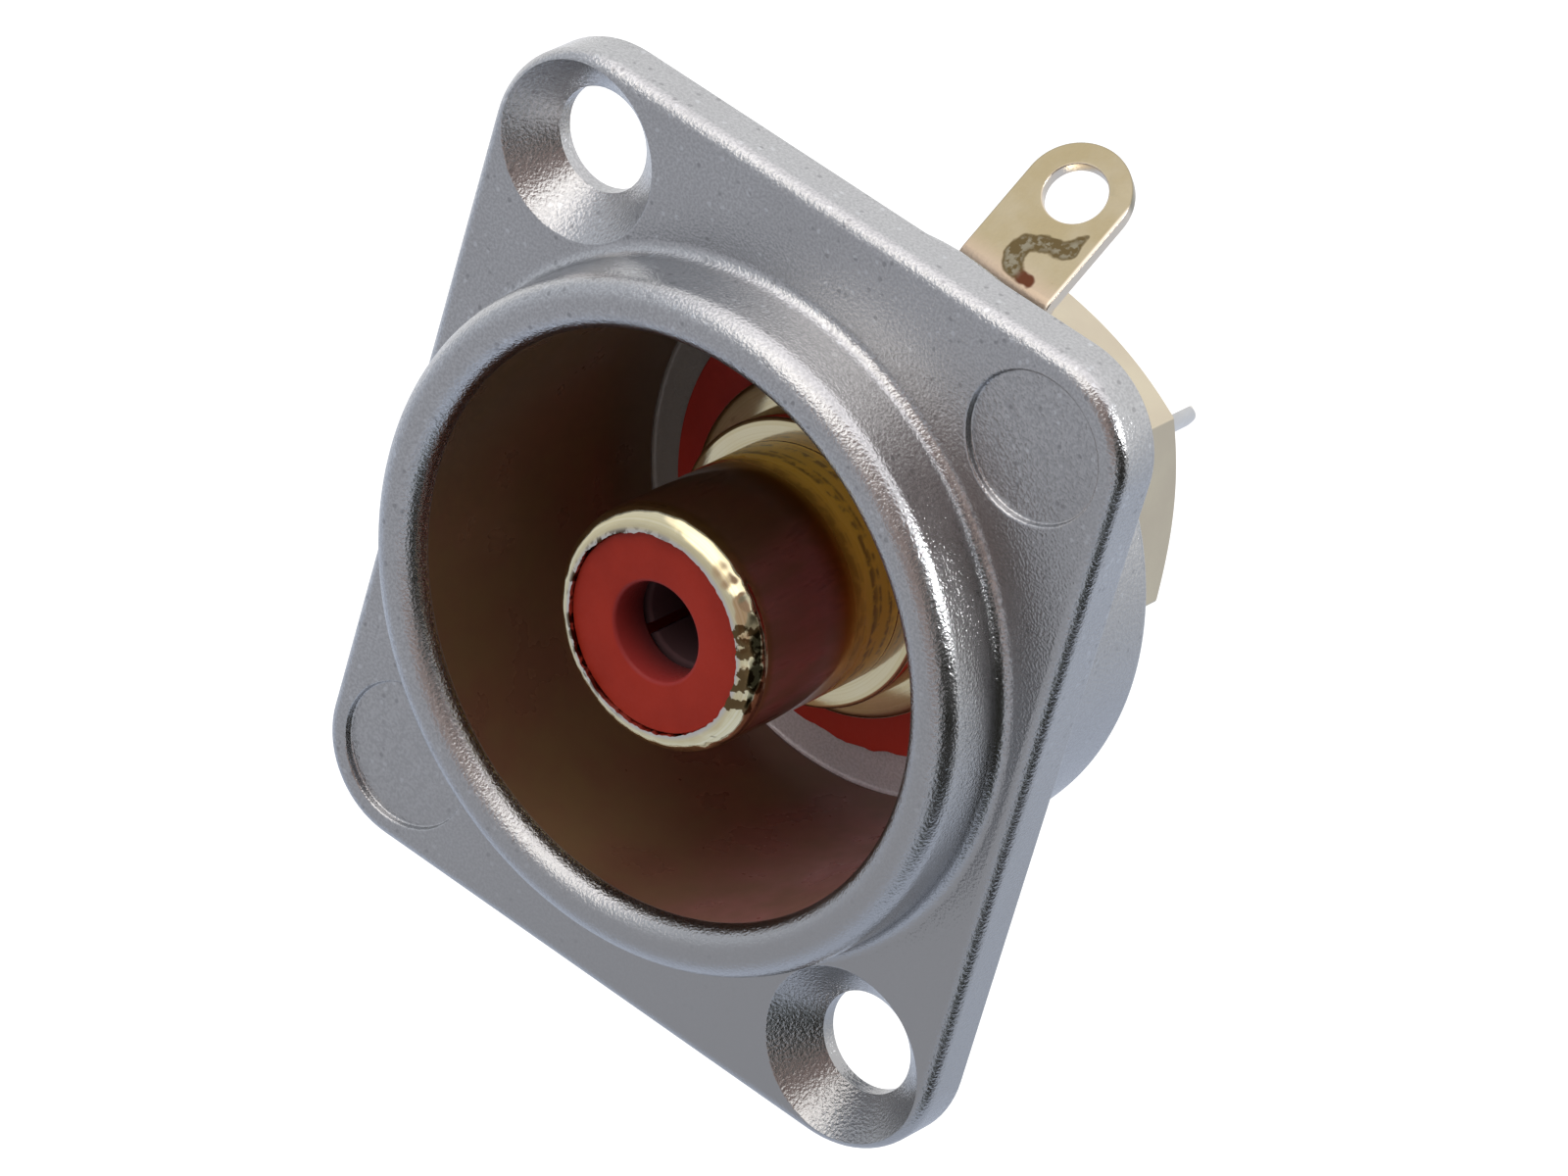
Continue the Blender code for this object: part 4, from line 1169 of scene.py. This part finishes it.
# Cards round the socket: azimuth from the front towards the right, elevation, how wide the full card
# and its soft edge are, all in degrees, and the colour. Each stands a little nearer than the one before.
CARDS = (
    ("front_tent", 0, 0, 85, 100, (0.68, 0.71, 0.76)),
    ("right_rear_card", 150, -32, 25, 45, (0.68, 0.71, 0.76)),
    ("floor_card", 0, -90, 45, 80, (0.60, 0.66, 0.78)),
    ("ceiling_panel", 0, 90, 22, 48, (1.45, 1.40, 1.41)),
    ("left_panel", -55, 62, 8, 28, (1.60, 1.55, 1.55)),
    ("grey_card", -20, -25, 25, 60, (0.50, 0.51, 0.545)),
    ("front_panel", -8, 50, 13, 30, (2.0, 1.92, 1.84)),
    ("camera_side_card", 22, 15, 12, 34, (0.40, 0.31, 0.28)),
    ("brown_card", 44, 44, 12, 26, (0.30, 0.22, 0.20)),
    ("low_right_card", 66, -28, 11, 26, (0.20, 0.22, 0.22)),
    ("right_card", 62, 14, 12, 28, (0.20, 0.19, 0.18)),
    ("black_card", 84, -8, 22, 40, (0.025, 0.025, 0.02)),
)
CARD_DISTANCE = 440
CARD_STEP = 8
CARD_RINGS = 14
CARD_SEGMENTS = 48

# Soft daylight, in the same terms as the cards
DAYLIGHT = (0.68, 0.71, 0.76)
DAYLIGHT_PATCHES = (
    (0, -90, 45, 80, (0.60, 0.66, 0.78)),
    (0, 90, 22, 48, (1.75, 1.70, 1.72)),
    (-55, 62, 8, 28, (1.60, 1.55, 1.55)),
    (-20, -25, 25, 60, (0.50, 0.51, 0.545)),
    (-8, 50, 13, 30, (2.20, 2.10, 2.00)),
    (40, 10, 20, 60, (0.25, 0.24, 0.23)),
    (84, -8, 22, 40, (0.025, 0.025, 0.02)),
)

# Lamp and floor
LAMP_AT = (104, 31)
LAMP_DISTANCE = 600
LAMP_SIZE = (170, 120)
LAMP_POWER = 1.35
FLOOR_LEVEL = -450
FLOOR_HALF = 1500
FLOOR_PAINT = (0.3, 0.3, 0.3, 1)
FLOOR_GLOW = 0.85
WHITE = (1, 1, 1, 1)


def toward(azimuth, elevation):
    """Direction from the socket, with angles in degrees. Azimuth 0 is the front and 90 the right."""
    across, rise = math.radians(azimuth), math.radians(elevation)
    level = math.cos(rise)
    return Vector((math.sin(across) * level, -math.cos(across) * level, math.sin(rise)))


def studio_world():
    """White background for all that looks straight or by reflection, and soft daylight for the rest."""
    world = bpy.data.worlds.new("studio_world")
    bpy.context.scene.world = world
    world.use_nodes = True
    tree = world.node_tree
    tree.nodes.clear()
    direction = tree.nodes.new("ShaderNodeTexCoord").outputs["Generated"]
    colour = DAYLIGHT
    for azimuth, elevation, full, edge, shade in DAYLIGHT_PATCHES:
        sockets = {0: direction, 1: toward(azimuth, elevation)}
        near = add(tree, "ShaderNodeVectorMath", sockets, operation="DOT_PRODUCT").outputs["Value"]
        low, high = math.cos(math.radians(edge)), math.cos(math.radians(full))
        colour = blend(tree, ramp(tree, near, low, high), colour, shade)
    around = add(tree, "ShaderNodeBackground", {"Color": colour, "Strength": 1.0})
    white = add(tree, "ShaderNodeBackground", {"Color": WHITE, "Strength": 1.0})
    end_in_mix(tree, looking(tree), around, white, "ShaderNodeOutputWorld")


def looking(tree):
    """1 for rays that see the background: from the camera, in a reflection or through glass."""
    path = tree.nodes.new("ShaderNodeLightPath").outputs
    seen = calc(tree, "MAXIMUM", path["Is Camera Ray"], path["Is Glossy Ray"])
    return calc(tree, "MAXIMUM", seen, path["Is Transmission Ray"])


def end_in_mix(tree, share, first, second, end="ShaderNodeOutputMaterial"):
    """Ends a tree in a mix of two shader nodes."""
    mixed = add(tree, "ShaderNodeMixShader", {0: share, 1: first.outputs[0], 2: second.outputs[0]})
    add(tree, end, {"Surface": mixed.outputs[0]})


def stage_material(name):
    """New material without nodes, for a piece of the studio. Returns it and its tree."""
    made = bpy.data.materials.new(name)
    made.use_nodes = True
    made.node_tree.nodes.clear()
    return made, made.node_tree


def card(name, spoke, full, edge, colour, distance):
    """Curved card with a soft edge, which only shows in reflections. Its middle lies along the spoke."""
    bm = bmesh.new()
    layers = []
    for i in range(1, CARD_RINGS + 1):
        spread = math.radians(edge) * i / CARD_RINGS
        points = arc((0, 0), distance * math.sin(spread), 0, 2 * math.pi, CARD_SEGMENTS)[:-1]
        layers.append([bm.verts.new((x, y, distance * math.cos(spread))) for x, y in points])
    middle = bm.verts.new((0, 0, distance))
    for k in range(CARD_SEGMENTS):
        bm.faces.new((layers[0][k - 1], layers[0][k], middle))
    for first, second in zip(layers, layers[1:]):
        for k in range(CARD_SEGMENTS):
            bm.faces.new((first[k - 1], first[k], second[k], second[k - 1]))
    made = piece_from(name, bm)
    made.rotation_euler = spoke.to_track_quat("Z", "Y").to_euler()
    made.data.materials.append(card_glow(name + "_glow", full, edge, colour, distance))
    made.visible_camera = False
    made.visible_diffuse = False
    made.visible_transmission = False
    made.visible_shadow = False


def card_glow(name, full, edge, colour, distance):
    """A card's even brightness, which fades out towards its rim."""
    made, tree = stage_material(name)
    height = places(tree)[2]
    low = distance * math.cos(math.radians(edge))
    high = distance * math.cos(math.radians(full))
    clear = tree.nodes.new("ShaderNodeBsdfTransparent")
    glow = add(tree, "ShaderNodeEmission", {"Color": (*colour, 1), "Strength": 1.0})
    end_in_mix(tree, ramp(tree, height, low, high), clear, glow)
    made.cycles.emission_sampling = "NONE"
    return made


def cards():
    """Panels and dark cards round the socket, which give its metal something to reflect."""
    distance = CARD_DISTANCE
    for name, azimuth, elevation, full, edge, colour in CARDS:
        card(name, toward(azimuth, elevation), full, edge, colour, distance)
        distance -= CARD_STEP


def right_lamp():
    """Soft lamp on the right, aimed at the socket."""
    data = bpy.data.lights.new("right_lamp", "AREA")
    data.shape = "RECTANGLE"
    data.size, data.size_y = (side * MM for side in LAMP_SIZE)
    data.energy = LAMP_POWER
    made = bpy.data.objects.new("right_lamp", data)
    spoke = toward(*LAMP_AT)
    made.location = spoke * LAMP_DISTANCE * MM
    made.rotation_euler = spoke.to_track_quat("Z", "Y").to_euler()
    bpy.context.scene.collection.objects.link(made)


def floor():
    """Pale floor below the socket, seen from above and in reflections, with the socket's shadow on it."""
    bm = bmesh.new()
    bmesh.ops.create_grid(bm, x_segments=8, y_segments=8, size=FLOOR_HALF)
    ground = piece_from("floor", bm)
    ground.location.z = FLOOR_LEVEL * MM
    paint, tree = stage_material("pale_floor")
    matt = add(tree, "ShaderNodeBsdfDiffuse", {"Color": FLOOR_PAINT}).outputs[0]
    glow = add(tree, "ShaderNodeEmission", {"Color": WHITE, "Strength": FLOOR_GLOW}).outputs[0]
    above = calc(tree, "SUBTRACT", 1.0, tree.nodes.new("ShaderNodeNewGeometry").outputs["Backfacing"])
    clear = tree.nodes.new("ShaderNodeBsdfTransparent")
    pale = add(tree, "ShaderNodeAddShader", {0: matt, 1: glow})
    end_in_mix(tree, times(tree, looking(tree), above), clear, pale)
    ground.data.materials.append(paint)


def camera():
    """Camera where the photo was taken from, rolled as it was held."""
    back = toward(CAMERA_AZIMUTH, CAMERA_ELEVATION)
    level_right = toward(CAMERA_AZIMUTH + 90, 0)
    level_up = back.cross(level_right)
    right = math.cos(CAMERA_ROLL) * level_right + math.sin(CAMERA_ROLL) * level_up
    up = math.cos(CAMERA_ROLL) * level_up - math.sin(CAMERA_ROLL) * level_right
    where = (back * CAMERA_DISTANCE + right * CAMERA_SIDE + up * CAMERA_RISE) * MM
    data = bpy.data.cameras.new("camera")
    data.lens = CAMERA_LENS
    data.sensor_width = SENSOR_WIDTH
    data.sensor_fit = "HORIZONTAL"
    data.clip_start, data.clip_end = CAMERA_CLIP
    made = bpy.data.objects.new("camera", data)
    made.matrix_world = Matrix.Translation(where) @ Matrix((right, up, back)).transposed().to_4x4()
    bpy.context.scene.collection.objects.link(made)
    bpy.context.scene.camera = made


def main():
    camera()
    bpy.context.scene.view_settings.view_transform = "Standard"
    studio_world()
    right_lamp()
    cards()
    floor()
    for effect in (about_axis, cup_lining, cast_grain, specks, smudges, turning_marks):
        effect()
    housing()
    front_insulating_washer()
    rear_insulating_washer()
    jack_shell()
    nose_insulator()
    rear_insulator()
    centre_contact()
    ground_tag()
    lock_washer()
    hex_nut()


main()
